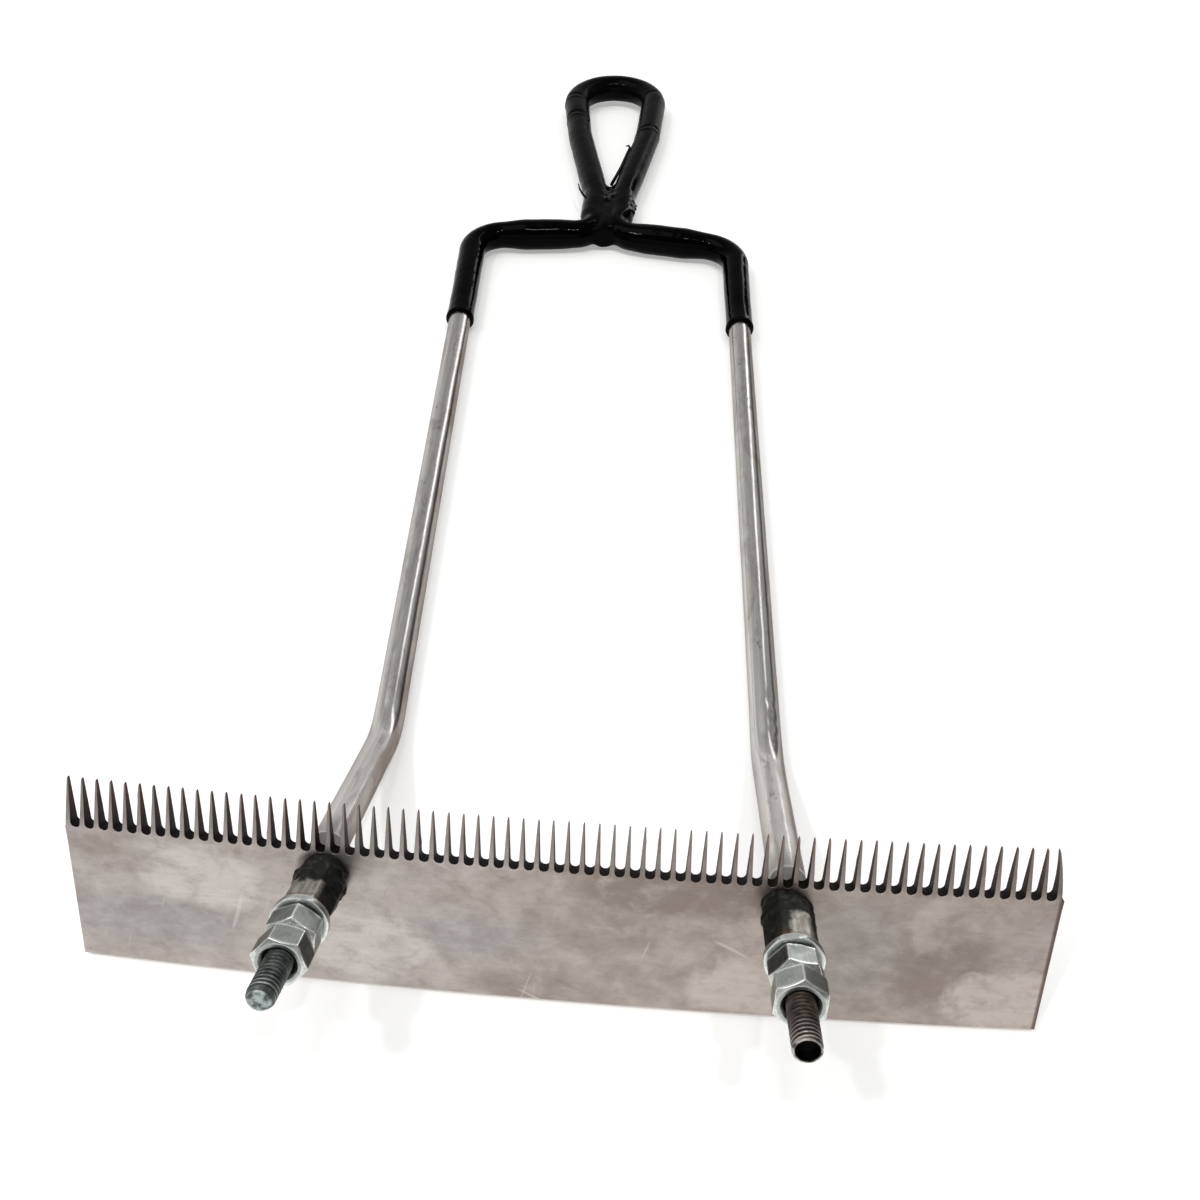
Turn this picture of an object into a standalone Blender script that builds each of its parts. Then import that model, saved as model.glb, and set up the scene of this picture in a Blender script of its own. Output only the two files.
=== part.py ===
"""Uncapping fork: a toothed steel comb on a bent tube frame with a dipped handle.

Run with: blender --background --python part.py
Units are metres, +Z is up. The tool lies on a surface at Z = 0, with its handle towards +Y.

Two frames are used:
- the comb frame: u along the comb, v up the comb towards the tooth tips, n out of its front face;
- the frame plane: x across, w along the legs from straight behind the studs to the handle.
"""

import math

import bpy
from mathutils import Matrix, Vector

MM = 0.001
GAP = 0.3 * MM            # clearance between pieces that touch

# How the tool lies
COMB_LEAN = math.radians(28.2)     # the comb leans back from the vertical
LEG_RISE = math.radians(0.45)      # the legs climb slightly towards the handle

# Comb plate
PLATE_WIDTH = 213.2 * MM
PLATE_BODY = 33.6 * MM             # from the lower edge to the gullets
PLATE_THICK = 3.0 * MM
TOOTH_COUNT = 67
TOOTH_PITCH = 3.2 * MM
TOOTH_HEIGHT = 11.0 * MM
FIRST_TOOTH = 0.8 * MM             # from the plate's left end to the first tooth's middle
GULLET_RADIUS = 1.04 * MM
TOOTH_TIP_HALF = 0.16 * MM
TOOTH_TIP_THICK = 0.7 * MM         # the teeth are ground away from the front towards their tips

# Studs, M6
STUD_U = {"left": -49.2 * MM, "right": 49.8 * MM}
STUD_V = -5.4 * MM                 # below the gullets
STUD_RADIUS = 2.9 * MM
STUD_TIP = {"left": 39.4 * MM, "right": 40.1 * MM}
STUD_CHAMFER = 0.6 * MM
CUP_RADIUS = 2.25 * MM             # hollow end of the right stud
CUP_DEPTH = 2.0 * MM
THREAD_PITCH = 1.0 * MM
BORE_RADIUS = STUD_RADIUS + GAP

# Fasteners along each stud, measured from the comb's front face
BEAD_BACK = GAP
BEAD_RADIUS = 6.2 * MM
BEAD_FRONT = 8.0 * MM
WELD_NUT_BACK = 6.6 * MM
WELD_NUT_FRONT = 14.9 * MM
WASHER_THICK = 1.6 * MM
WASHER_RADIUS = 6.2 * MM
NUT_HEIGHT = 5.8 * MM
NUT_FLATS = 10.0 * MM
NUT_SIDES = 24                     # points round a nut, four to a flat
NUT_TURN = {                       # how each nut happens to stand, in degrees
    "weld_nut_left": 5.0, "weld_nut_right": -5.0,
    "clamp_nut_left": 24.0, "clamp_nut_right": -8.0,
    "lock_nut_left": -13.0, "lock_nut_right": 28.0,
}

# Frame tube
TUBE_RADIUS = 4.0 * MM
TUBE_WALL = 0.8 * MM
TUBE_SIDES = 16
ARC_STEP = math.radians(15.0)
STUB_V = -0.9 * MM                 # height of the tube's ends on the comb, above the studs
LEG_START = 47.0 * MM              # from the comb's front face to w = 0, straight behind a stud
BEND_W = 9.4 * MM                  # where each leg bends down from the comb
BEND_RADIUS = 28.0 * MM

# Handle coating
RIM_W = {"left": 192.6 * MM, "right": 195.2 * MM}
RIM_ROLL = 1.4 * MM
RIM_RADIUS = 5.25 * MM
SLEEVE_RADIUS = 4.85 * MM
BAR_RADIUS = 6.0 * MM
NECK_RADIUS = 5.5 * MM
LOOP_RADIUS = 5.45 * MM
LOOP_END_RADIUS = 5.7 * MM
CAVITY_RADIUS = TUBE_RADIUS + GAP
WEB_HALF_THICK = 4.6 * MM

# Corners of the frame's centreline in the frame plane: x, w, corner radius, coating radius
SHOULDER = {"left": (-64.2 * MM, 250.9 * MM), "right": (41.1 * MM, 249.2 * MM)}
SHOULDER_RADIUS = {"left": 12.5 * MM, "right": 14.5 * MM}
NECK_X = -11.8 * MM
NECK_HALF = 5.6 * MM
NECK_BASE_W = 255.8 * MM
NECK_BASE_RADIUS = 7.0 * MM
NECK_TOP_W = 285.5 * MM
CROTCH_W = 290.5 * MM
LOOP_MID = {"left": (-29.0 * MM, 337.0 * MM), "right": (1.4 * MM, 337.0 * MM)}
LOOP_TOP = {"left": (-36.5 * MM, 388.0 * MM), "right": (3.4 * MM, 388.0 * MM)}
LOOP_TOP_RADIUS = 18.0 * MM

SIDES = ("left", "right")
COMB_HEIGHT = PLATE_BODY * math.cos(COMB_LEAN) + PLATE_THICK * math.sin(COMB_LEAN)


def clear_scene():
    """Remove everything that is in the scene."""
    for thing in list(bpy.data.objects):
        bpy.data.objects.remove(thing, do_unlink=True)


def make_material(name, colour, roughness, metallic):
    """A plain Principled material."""
    material = bpy.data.materials.new(name)
    material.use_nodes = True
    shader = material.node_tree.nodes["Principled BSDF"]
    shader.inputs["Base Color"].default_value = (*colour, 1.0)
    shader.inputs["Roughness"].default_value = roughness
    shader.inputs["Metallic"].default_value = metallic
    material.diffuse_color = (*colour, 1.0)
    return material


def make_empty(name, location, parent=None, rotation=(0.0, 0.0, 0.0)):
    """An empty that carries a local frame."""
    empty = bpy.data.objects.new(name, None)
    bpy.context.scene.collection.objects.link(empty)
    empty.location = location
    empty.rotation_euler = rotation
    empty.parent = parent
    return empty


def make_piece(name, points, faces, material, parent, location=(0.0, 0.0, 0.0), turn=0.0):
    """A mesh object from points and faces, shaded smooth except at real edges."""
    mesh = bpy.data.meshes.new(name)
    mesh.from_pydata([tuple(point) for point in points], [], faces)
    mesh.validate()
    mesh.shade_smooth()
    mesh.set_sharp_from_angle(angle=math.radians(30.0))
    piece = bpy.data.objects.new(name, mesh)
    bpy.context.scene.collection.objects.link(piece)
    piece.location = location
    piece.rotation_euler = (0.0, 0.0, turn)
    piece.parent = parent
    if material is not None:
        mesh.materials.append(material)
    return piece


def hide_tool(piece):
    """Mark a piece as a cutter or a guide."""
    piece.hide_render = True
    piece.display_type = "WIRE"


def add_boolean(piece, tool, operation):
    """Combine a piece with a hidden tool."""
    hide_tool(tool)
    modifier = piece.modifiers.new(tool.name, "BOOLEAN")
    modifier.operation = operation
    modifier.solver = "EXACT"
    modifier.object = tool


def comb_point(u, v, n):
    """A point in the comb frame, in the tool's own frame."""
    lean_sin, lean_cos = math.sin(COMB_LEAN), math.cos(COMB_LEAN)
    return Vector((u, v * lean_sin - n * lean_cos, v * lean_cos + n * lean_sin + COMB_HEIGHT))


LEG_ORIGIN = comb_point(0.0, STUD_V, -LEG_START)


def frame_point(x, w):
    """A point of the frame plane, in the tool's own frame."""
    return Vector((x, LEG_ORIGIN.y + w * math.cos(LEG_RISE), LEG_ORIGIN.z + w * math.sin(LEG_RISE)))


def leg_point(side, w):
    """A point on a leg's centreline between its bend and its shoulder."""
    shoulder_x, shoulder_w = SHOULDER[side]
    share = w / shoulder_w
    return frame_point(STUD_U[side] + (shoulder_x - STUD_U[side]) * share, w)


def rounded_path(corners):
    """Follow corners of (point, corner radius, tube radius); return (point, tube radius) pairs."""
    path = [(corners[0][0], corners[0][2])]
    for before, here, after in zip(corners, corners[1:], corners[2:]):
        point, radius, tube_radius = here
        back = (before[0] - point).normalized()
        ahead = (after[0] - point).normalized()
        turn = math.pi - back.angle(ahead)
        if radius == 0.0 or turn < math.radians(0.5):
            path.append((point, tube_radius))
            continue
        centre_way = (back + ahead).normalized()
        centre = point + centre_way * (radius / math.cos(turn / 2.0))
        start = point + back * (radius * math.tan(turn / 2.0)) - centre
        axis = (-back).cross(ahead).normalized()
        steps = max(1, math.ceil(turn / ARC_STEP))
        for step in range(steps + 1):
            spoke = Matrix.Rotation(turn * step / steps, 3, axis) @ start
            path.append((centre + spoke, tube_radius))
    path.append((corners[-1][0], corners[-1][2]))
    return path


def ring_points(path, index, radius):
    """A ring of points round one point of a path, with one flat facing down."""
    here = path[index][0]
    before = path[max(index - 1, 0)][0]
    after = path[min(index + 1, len(path) - 1)][0]
    into = (here - before).normalized() if index > 0 else (after - here).normalized()
    out = (after - here).normalized() if index < len(path) - 1 else into
    tangent = (into + out).normalized()
    plane_up = Vector((0.0, -math.sin(LEG_RISE), math.cos(LEG_RISE)))
    up = (plane_up - tangent * plane_up.dot(tangent)).normalized()
    across = tangent.cross(up)
    ring = []
    for side in range(TUBE_SIDES):
        angle = 2.0 * math.pi * (side + 0.5) / TUBE_SIDES
        ring.append(here + (up * math.cos(angle) + across * math.sin(angle)) * radius)
    return ring


def bridge_rings(first, second, count):
    """Quads between two rings that start at the given point numbers."""
    return [(first + side, first + (side + 1) % count, second + (side + 1) % count, second + side)
            for side in range(count)]


def solid_sweep(path, radii):
    """A solid rod along a path."""
    points, faces = [], []
    for index, radius in enumerate(radii):
        points += ring_points(path, index, radius)
    for index in range(len(path) - 1):
        faces += bridge_rings(index * TUBE_SIDES, (index + 1) * TUBE_SIDES, TUBE_SIDES)
    last = (len(path) - 1) * TUBE_SIDES
    faces.append(tuple(reversed(range(TUBE_SIDES))))
    faces.append(tuple(range(last, last + TUBE_SIDES)))
    return points, faces


def hollow_sweep(path, outer, inner):
    """An open-ended tube along a path."""
    points, faces = [], []
    count = len(path)
    for radius in (outer, inner):
        for index in range(count):
            points += ring_points(path, index, radius)
    inside = count * TUBE_SIDES
    for index in range(count - 1):
        near, far = index * TUBE_SIDES, (index + 1) * TUBE_SIDES
        faces += bridge_rings(near, far, TUBE_SIDES)
        faces += bridge_rings(inside + far, inside + near, TUBE_SIDES)
    last = (count - 1) * TUBE_SIDES
    faces += bridge_rings(inside, 0, TUBE_SIDES)
    faces += bridge_rings(last, inside + last, TUBE_SIDES)
    return points, faces


def turned(profile, count=NUT_SIDES):
    """A turned ring from a closed profile of (radius, n) points, run anticlockwise."""
    points, faces = [], []
    for radius, n in profile:
        for side in range(count):
            angle = 2.0 * math.pi * side / count
            points.append((radius * math.cos(angle), radius * math.sin(angle), n))
    for index in range(len(profile)):
        faces += bridge_rings(index * count, (index + 1) % len(profile) * count, count)
    return points, faces


def turned_solid(profile, count=NUT_SIDES):
    """A turned solid from a profile of (radius, n) points that runs from its back to its front."""
    points, faces = turned(profile, count)
    faces = faces[:-count]
    last = (len(profile) - 1) * count
    faces.append(tuple(reversed(range(count))))
    faces.append(tuple(range(last, last + count)))
    return points, faces


def hex_nut(height, bore=BORE_RADIUS):
    """A chamfered hex nut from n = 0 to its height, with countersunk ends."""
    flat_half = NUT_FLATS / 2.0
    cone_radius = 0.95 * flat_half
    cone_slope = math.tan(math.radians(30.0))
    sink_radius = bore + 0.45 * MM
    sink_depth = 0.35 * MM
    rows = []
    for side in range(NUT_SIDES):
        angle = 2.0 * math.pi * side / NUT_SIDES
        off_flat = (math.degrees(angle) % 60.0) - 30.0
        hex_radius = flat_half / math.cos(math.radians(off_flat))
        drop = (hex_radius - cone_radius) * cone_slope
        rows.append([
            (bore, sink_depth), (sink_radius, 0.0), (cone_radius, 0.0), (hex_radius, drop),
            (hex_radius, height - drop), (cone_radius, height), (sink_radius, height),
            (bore, height - sink_depth),
        ])
    points, faces = [], []
    for index in range(len(rows[0])):
        for side, row in enumerate(rows):
            angle = 2.0 * math.pi * side / NUT_SIDES
            radius, n = row[index]
            points.append((radius * math.cos(angle), radius * math.sin(angle), n))
    for index in range(len(rows[0])):
        following = (index + 1) % len(rows[0])
        faces += bridge_rings(index * NUT_SIDES, following * NUT_SIDES, NUT_SIDES)
    return points, faces


def plate_outline():
    """The comb's outline in u and v, anticlockwise: the body, then the teeth from right to left."""
    left = -PLATE_WIDTH / 2.0
    right = PLATE_WIDTH / 2.0
    outline = [(left, -PLATE_BODY), (right, -PLATE_BODY), (right, 0.0)]
    half_pitch = TOOTH_PITCH / 2.0
    root_half = half_pitch - GULLET_RADIUS
    arc = GULLET_RADIUS * (1.0 - math.sqrt(0.5))
    for tooth in reversed(range(TOOTH_COUNT)):
        middle = left + FIRST_TOOTH + tooth * TOOTH_PITCH
        if tooth == TOOTH_COUNT - 1:
            outline.append((middle + root_half, 0.0))
        outline += [
            (middle + root_half, GULLET_RADIUS),
            (middle + TOOTH_TIP_HALF, TOOTH_HEIGHT),
            (middle - TOOTH_TIP_HALF, TOOTH_HEIGHT),
            (middle - root_half, GULLET_RADIUS),
        ]
        if tooth > 0:
            outline += [
                (middle - root_half - arc, arc),
                (middle - half_pitch, 0.0),
                (middle - half_pitch - GULLET_RADIUS + arc, arc),
            ]
    outline += [(left + FIRST_TOOTH - root_half, 0.0), (left, 0.0)]
    return outline


def make_comb(material, comb_axes, stud_axes):
    """The toothed plate, its teeth ground thin at the tips, with a hole for each stud."""
    outline = plate_outline()
    count = len(outline)
    tips = [index for index, (_, v) in enumerate(outline) if v == TOOTH_HEIGHT]
    body = [index for index in range(count) if index not in tips]
    ground = PLATE_THICK - TOOTH_TIP_THICK
    points = [(u, v, -PLATE_THICK) for u, v in outline]
    points += [(u, v, -ground if v == TOOTH_HEIGHT else 0.0) for u, v in outline]
    faces = bridge_rings(0, count, count)
    faces.append(tuple(reversed(range(count))))
    faces.append(tuple(count + index for index in body))
    faces += [tuple(count + tip + step for step in (-1, 0, 1, 2)) for tip in tips[::2]]
    comb = make_piece("comb_plate", points, faces, material, comb_axes)
    for side in SIDES:
        reach = PLATE_THICK + 2.0 * GAP
        hole = turned_solid([(BORE_RADIUS, -reach), (BORE_RADIUS, reach)])
        add_boolean(comb, make_piece(f"hole_tool_{side}", *hole, None, stud_axes[side]), "DIFFERENCE")


def make_stud(side, material, axis):
    """A threaded rod at its major diameter, with a chamfered tip; the right one ends in a cup."""
    tip = STUD_TIP[side]
    back = -PLATE_THICK
    profile = [
        (STUD_RADIUS - STUD_CHAMFER, back), (STUD_RADIUS, back + STUD_CHAMFER),
        (STUD_RADIUS, tip - STUD_CHAMFER),
    ]
    if side == "right":
        profile += [(CUP_RADIUS + 0.15 * MM, tip), (CUP_RADIUS, tip), (0.7 * CUP_RADIUS, tip - CUP_DEPTH)]
    else:
        profile += [(STUD_RADIUS - STUD_CHAMFER, tip)]
    make_piece(f"stud_{side}", *turned_solid(profile), material, axis)


def make_weld_nut(side, material, axis):
    """A hex nut run into the burnt weld bead that holds it on the comb."""
    name = f"weld_nut_{side}"
    nut = hex_nut(WELD_NUT_FRONT - WELD_NUT_BACK)
    piece = make_piece(name, *nut, material, axis, (0.0, 0.0, WELD_NUT_BACK), math.radians(NUT_TURN[name]))
    length = BEAD_FRONT - BEAD_BACK
    bead = turned([
        (BORE_RADIUS, BEAD_BACK), (BEAD_RADIUS, BEAD_BACK),
        (BEAD_RADIUS, BEAD_BACK + 0.35 * length), (0.93 * BEAD_RADIUS, BEAD_BACK + 0.75 * length),
        (0.84 * BEAD_RADIUS, BEAD_FRONT), (BORE_RADIUS, BEAD_FRONT),
    ])
    add_boolean(piece, make_piece(f"bead_tool_{side}", *bead, None, axis), "UNION")


def make_washer(side, material, axis, back):
    """A plain washer."""
    edge = 0.15 * MM
    front = WASHER_THICK
    profile = [
        (BORE_RADIUS, 0.0), (WASHER_RADIUS, 0.0), (WASHER_RADIUS, front - edge),
        (WASHER_RADIUS - edge, front), (BORE_RADIUS, front),
    ]
    make_piece(f"washer_{side}", *turned(profile), material, axis, (0.0, 0.0, back))


def make_nut(name, material, axis, back):
    """A loose hex nut on a stud."""
    place = (0.0, 0.0, back)
    make_piece(name, *hex_nut(NUT_HEIGHT), material, axis, place, math.radians(NUT_TURN[name]))


def make_fasteners(side, steel, burnt, zinc, axis):
    """Everything on one stud, from the comb outwards."""
    make_stud(side, steel, axis)
    make_weld_nut(side, burnt, axis)
    washer_back = WELD_NUT_FRONT + GAP
    make_washer(side, zinc, axis, washer_back)
    clamp_back = washer_back + WASHER_THICK + GAP
    make_nut(f"clamp_nut_{side}", zinc, axis, clamp_back)
    make_nut(f"lock_nut_{side}", zinc, axis, clamp_back + NUT_HEIGHT + GAP)


def leg_corners(side):
    """Corners of the centreline from the comb to the neck, on one side."""
    sign = -1.0 if side == "left" else 1.0
    shoulder_x, shoulder_w = SHOULDER[side]
    neck_x = NECK_X + sign * NECK_HALF
    bar_slope = (NECK_BASE_W - shoulder_w) / (neck_x - shoulder_x)
    rim_w = RIM_W[side]

    def bar_point(x):
        return frame_point(x, shoulder_w + bar_slope * (x - shoulder_x))

    return [
        (comb_point(STUD_U[side], STUB_V, -(PLATE_THICK + GAP)), 0.0, SLEEVE_RADIUS),
        (leg_point(side, BEND_W), BEND_RADIUS, SLEEVE_RADIUS),
        (leg_point(side, rim_w), 0.0, RIM_RADIUS),
        (leg_point(side, rim_w + RIM_ROLL), 0.0, RIM_RADIUS),
        (leg_point(side, rim_w + 2.0 * RIM_ROLL), 0.0, SLEEVE_RADIUS),
        (frame_point(shoulder_x, shoulder_w), SHOULDER_RADIUS[side], 1.06 * SLEEVE_RADIUS),
        (bar_point(shoulder_x - sign * 20.0 * MM), 0.0, BAR_RADIUS),
        (bar_point(neck_x + sign * 12.0 * MM), 0.0, BAR_RADIUS),
        (frame_point(neck_x, NECK_BASE_W), NECK_BASE_RADIUS, NECK_RADIUS),
        (frame_point(neck_x, NECK_TOP_W), NECK_HALF * 3.0, NECK_RADIUS),
        (frame_point(*LOOP_MID[side]), 60.0 * MM, LOOP_RADIUS),
        (frame_point(*LOOP_TOP[side]), LOOP_TOP_RADIUS, LOOP_END_RADIUS),
    ]


def make_frame_tube(material, origin):
    """The one bent tube that makes both legs, the crossbar, the neck and the loop."""
    path = rounded_path(leg_corners("left") + leg_corners("right")[::-1])
    mesh = hollow_sweep(path, TUBE_RADIUS, TUBE_RADIUS - TUBE_WALL)
    make_piece("frame_tube", *mesh, material, origin)


def make_coating(material, origin):
    """The dipped skin, with a web that fills the neck, round a cavity for the tube."""
    bare = 2                            # corners before each rim
    corners = leg_corners("left")[bare:] + leg_corners("right")[:bare - 1:-1]
    path = rounded_path(corners)
    skin = solid_sweep(path, [radius for _, radius in path])
    coating = make_piece("handle_coating", *skin, material, origin)

    web_outline = [
        (NECK_X - NECK_HALF, NECK_BASE_W - 0.4 * BAR_RADIUS), (NECK_X + NECK_HALF, NECK_BASE_W - 0.4 * BAR_RADIUS),
        (NECK_X + NECK_HALF, NECK_TOP_W), (NECK_X + 0.45 * NECK_HALF, CROTCH_W),
        (NECK_X - 0.45 * NECK_HALF, CROTCH_W), (NECK_X - NECK_HALF, NECK_TOP_W),
    ]
    lift = Vector((0.0, -math.sin(LEG_RISE), math.cos(LEG_RISE))) * WEB_HALF_THICK
    count = len(web_outline)
    web_points = [frame_point(*corner) - lift for corner in web_outline]
    web_points += [frame_point(*corner) + lift for corner in web_outline]
    web_faces = bridge_rings(0, count, count)
    web_faces.append(tuple(reversed(range(count))))
    web_faces.append(tuple(range(count, 2 * count)))
    add_boolean(coating, make_piece("web_tool", web_points, web_faces, None, origin), "UNION")

    overrun = 3.0 * MM
    corners[0] = (leg_point("left", RIM_W["left"] - overrun), 0.0, 0.0)
    corners[-1] = (leg_point("right", RIM_W["right"] - overrun), 0.0, 0.0)
    path = rounded_path(corners)
    cavity = solid_sweep(path, [CAVITY_RADIUS] * len(path))
    add_boolean(coating, make_piece("cavity_tool", *cavity, None, origin), "DIFFERENCE")


def stand_on_origin(origin):
    """Move everything so that the middle of the tool's footprint is at the world's origin."""
    bpy.context.view_layer.update()
    low = Vector((math.inf,) * 3)
    high = Vector((-math.inf,) * 3)
    for piece in bpy.data.objects:
        if piece.type != "MESH" or piece.hide_render:
            continue
        for vertex in piece.data.vertices:
            point = piece.matrix_world @ vertex.co
            low = Vector(map(min, low, point))
            high = Vector(map(max, high, point))
    origin.location -= Vector(((low.x + high.x) / 2.0, (low.y + high.y) / 2.0, low.z))
    bpy.context.view_layer.update()


def build():
    """Make the whole tool."""
    clear_scene()
    tube_steel = make_material("tube_steel", (0.42, 0.40, 0.39), 0.35, 1.0)
    plate_steel = make_material("plate_steel", (0.47, 0.42, 0.41), 0.42, 1.0)
    stud_steel = make_material("stud_steel", (0.14, 0.13, 0.12), 0.45, 0.9)
    burnt_steel = make_material("burnt_steel", (0.10, 0.10, 0.095), 0.55, 0.8)
    zinc = make_material("zinc_plate", (0.45, 0.48, 0.46), 0.38, 1.0)
    black_skin = make_material("black_coating", (0.012, 0.012, 0.014), 0.22, 0.0)

    origin = make_empty("fork_origin", (0.0, 0.0, 0.0))
    comb_turn = (math.pi / 2.0 - COMB_LEAN, 0.0, 0.0)
    comb_axes = make_empty("comb_axes", (0.0, 0.0, COMB_HEIGHT), origin, comb_turn)
    stud_axes = {
        side: make_empty(f"{side}_stud_axis", (STUD_U[side], STUD_V, 0.0), comb_axes) for side in SIDES
    }
    make_comb(plate_steel, comb_axes, stud_axes)
    make_frame_tube(tube_steel, origin)
    make_coating(black_skin, origin)
    for side in SIDES:
        make_fasteners(side, stud_steel, burnt_steel, zinc, stud_axes[side])
    stand_on_origin(origin)


build()
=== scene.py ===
"""The looks of the uncapping fork: fine meshes, materials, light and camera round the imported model.

Lengths are metres. Three coordinate systems are used:
- the world: Z up, with the tool lying on Z = 0 and its handle towards +Y;
- the comb frame: u along the comb, v up its face towards the tooth tips, n out of its front face;
- the frame plane: x across, w along the legs from straight behind the studs towards the handle.
"""

import math

import bmesh
import bpy
import numpy as np
from mathutils import Matrix, Vector, kdtree, noise


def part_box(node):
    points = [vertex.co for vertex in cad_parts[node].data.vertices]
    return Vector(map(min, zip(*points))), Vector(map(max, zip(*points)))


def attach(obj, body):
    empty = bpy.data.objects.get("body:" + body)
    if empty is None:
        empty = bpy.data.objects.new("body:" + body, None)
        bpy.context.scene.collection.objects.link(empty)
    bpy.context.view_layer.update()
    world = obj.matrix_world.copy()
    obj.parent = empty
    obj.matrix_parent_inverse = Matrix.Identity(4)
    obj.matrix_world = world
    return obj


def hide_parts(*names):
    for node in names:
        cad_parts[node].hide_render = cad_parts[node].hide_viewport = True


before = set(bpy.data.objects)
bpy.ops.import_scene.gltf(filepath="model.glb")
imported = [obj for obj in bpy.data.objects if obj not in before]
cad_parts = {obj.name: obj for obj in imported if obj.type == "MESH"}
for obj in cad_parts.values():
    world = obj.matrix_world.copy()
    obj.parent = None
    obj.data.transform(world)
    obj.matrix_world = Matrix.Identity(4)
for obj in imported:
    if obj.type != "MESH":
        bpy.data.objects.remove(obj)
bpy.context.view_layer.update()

MM = 0.001
SIDES = ("left", "right")

# How the tool lies
COMB_LEAN = math.radians(28.2)
LEG_RISE = math.radians(0.45)

# Comb plate
PLATE_HALF = 106.6 * MM
PLATE_BODY = 33.6 * MM
PLATE_THICK = 3.0 * MM
TOOTH_COUNT = 67
TOOTH_PITCH = 3.2 * MM
TOOTH_HEIGHT = 11.0 * MM
FIRST_TOOTH = 0.8 * MM             # from the plate's end to the middle of the first tooth
GULLET_RADIUS = 1.04 * MM
ROOT_HALF = TOOTH_PITCH / 2.0 - GULLET_RADIUS
TOOTH_TIP_HALF = 0.16 * MM
TOOTH_GROUND = 2.3 * MM            # ground off the front of each tooth at its tip
TOOTH_LEVELS = (0.1, 0.22, 0.36, 0.5, 0.64, 0.77, 0.88, 0.95, 0.985, 1.0)
TOOTH_NARROW = (1.0, 1.0, 1.0, 1.0, 1.0, 1.0, 1.0, 0.96, 0.72, 0.36)   # rounds the tip off
BODY_LEVELS = (0.0, 0.06, 0.2, 0.36, 0.52, 0.68, 0.82, 0.92, 1.0)
BENT_TOOTH = -1.0 * MM             # how far the last tooth leans to the left
PLATE_EDGE = 0.16 * MM             # broken edge round the body
TOOTH_EDGE = 0.06 * MM             # broken edge round the teeth
PLATE_BOW = 2.2 * MM               # the middle stands this far in front of the ends

# Studs and what is on them, measured from the comb's front face
STUD_U = {"left": -49.2 * MM, "right": 49.8 * MM}
STUD_V = -5.4 * MM
STUD_RADIUS = 2.9 * MM
STUD_TIP = {"left": 39.4 * MM, "right": 40.1 * MM}
STUD_SIDES = 48
THREAD_PITCH = 1.0 * MM
THREAD_DEPTH = 0.55 * MM
THREAD_BACK = 12.0 * MM            # where the thread starts, inside the weld nut
CUP_RADIUS = 2.25 * MM             # the cup in the right stud's tip
CUP_DEPTH = 2.0 * MM
GAP = 0.3 * MM
NUT_FLAT_HALF = 5.0 * MM
BORE_RADIUS = 3.05 * MM
SINK_RADIUS = 3.95 * MM            # the countersinks of the loose nuts
SINK_DEPTH = 0.95 * MM
CHAMFER_RADIUS = 0.93 * NUT_FLAT_HALF       # where the chamfer of a nut's corners starts
CHAMFER_SLOPE = math.tan(math.radians(30.0))
WELD_RADIUS = 5.0 * MM             # about where the weld's lumps are
MELTED_RADIUS = 4.9 * MM           # what is left of the weld nut's corners under the bead
BEAD_RADIUS = 6.2 * MM             # the furthest that the bead stands out
WELD_NUT_FRONT = 14.9 * MM
WASHER_BACK = WELD_NUT_FRONT + GAP
WASHER_THICK = 1.6 * MM
WASHER_RADIUS = 6.2 * MM
NUT_HEIGHT = 5.8 * MM
CLAMP_BACK = WASHER_BACK + WASHER_THICK + GAP
LOCK_BACK = CLAMP_BACK + NUT_HEIGHT + GAP
NUT_TURN = {
    "weld_nut_left": 5.0, "weld_nut_right": -5.0,
    "clamp_nut_left": 24.0, "clamp_nut_right": -8.0,
    "lock_nut_left": -13.0, "lock_nut_right": 28.0,
}

# How much painted dark reflection each flat of a nut has, from 0 to 1, round from its first corner: flats
# that would mirror the plate and its shadows are darkened
FLAT_PAINTED_REFLECTION = {
    "clamp_nut_left": (0.08, 0.22, 0.30, 0.20, 0.30, 0.55),
    "clamp_nut_right": (0.50, 0.00, 0.90, 0.40, 0.20, 0.30),
    "lock_nut_left": (0.85, 0.05, 0.70, 0.30, 0.20, 0.40),
    "lock_nut_right": (0.22, 0.04, 0.35, 0.30, 0.20, 0.45),
}

# Frame tube and its coating
TUBE_RADIUS = 4.0 * MM
TUBE_WALL = 0.8 * MM
TUBE_SIDES = 48
STUB_V = -0.9 * MM                 # the height where the tube's ends meet the comb's back
LEG_START = 47.0 * MM              # w = 0 is this far behind the comb's front face, in line with the studs
BEND_W = 9.4 * MM                  # where the legs' bends would come to a corner
BEND_RADIUS = 28.0 * MM
RIM_W = {"left": 192.6 * MM, "right": 195.2 * MM}
SLEEVE_RADIUS = 4.85 * MM
BAR_RADIUS = 5.95 * MM
NECK_RADIUS = 5.5 * MM
LOOP_RADIUS = 5.45 * MM
LOOP_END_RADIUS = 5.7 * MM
SHOULDER = {"left": (-64.2 * MM, 250.9 * MM), "right": (41.1 * MM, 249.2 * MM)}
SHOULDER_RADIUS = {"left": 12.5 * MM, "right": 14.5 * MM}
BAR_START = 20.0 * MM              # from the shoulder to where the bar has its full thickness
BAR_END = 12.0 * MM                # and from the neck
NECK_X = -11.8 * MM
NECK_HALF = 5.6 * MM
NECK_BASE_W = 255.8 * MM
NECK_BASE_RADIUS = 7.0 * MM
NECK_TOP_W = 285.5 * MM
WEB_START = NECK_BASE_W - 3.0 * MM
WEB_END = 291.0 * MM
WEB_RADIUS = 5.2 * MM
WEB_TAPER = 2.4 * MM
LOOP_MID = {"left": (-29.0 * MM, 337.0 * MM), "right": (1.4 * MM, 337.0 * MM)}
LOOP_MID_RADIUS = 60.0 * MM
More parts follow.
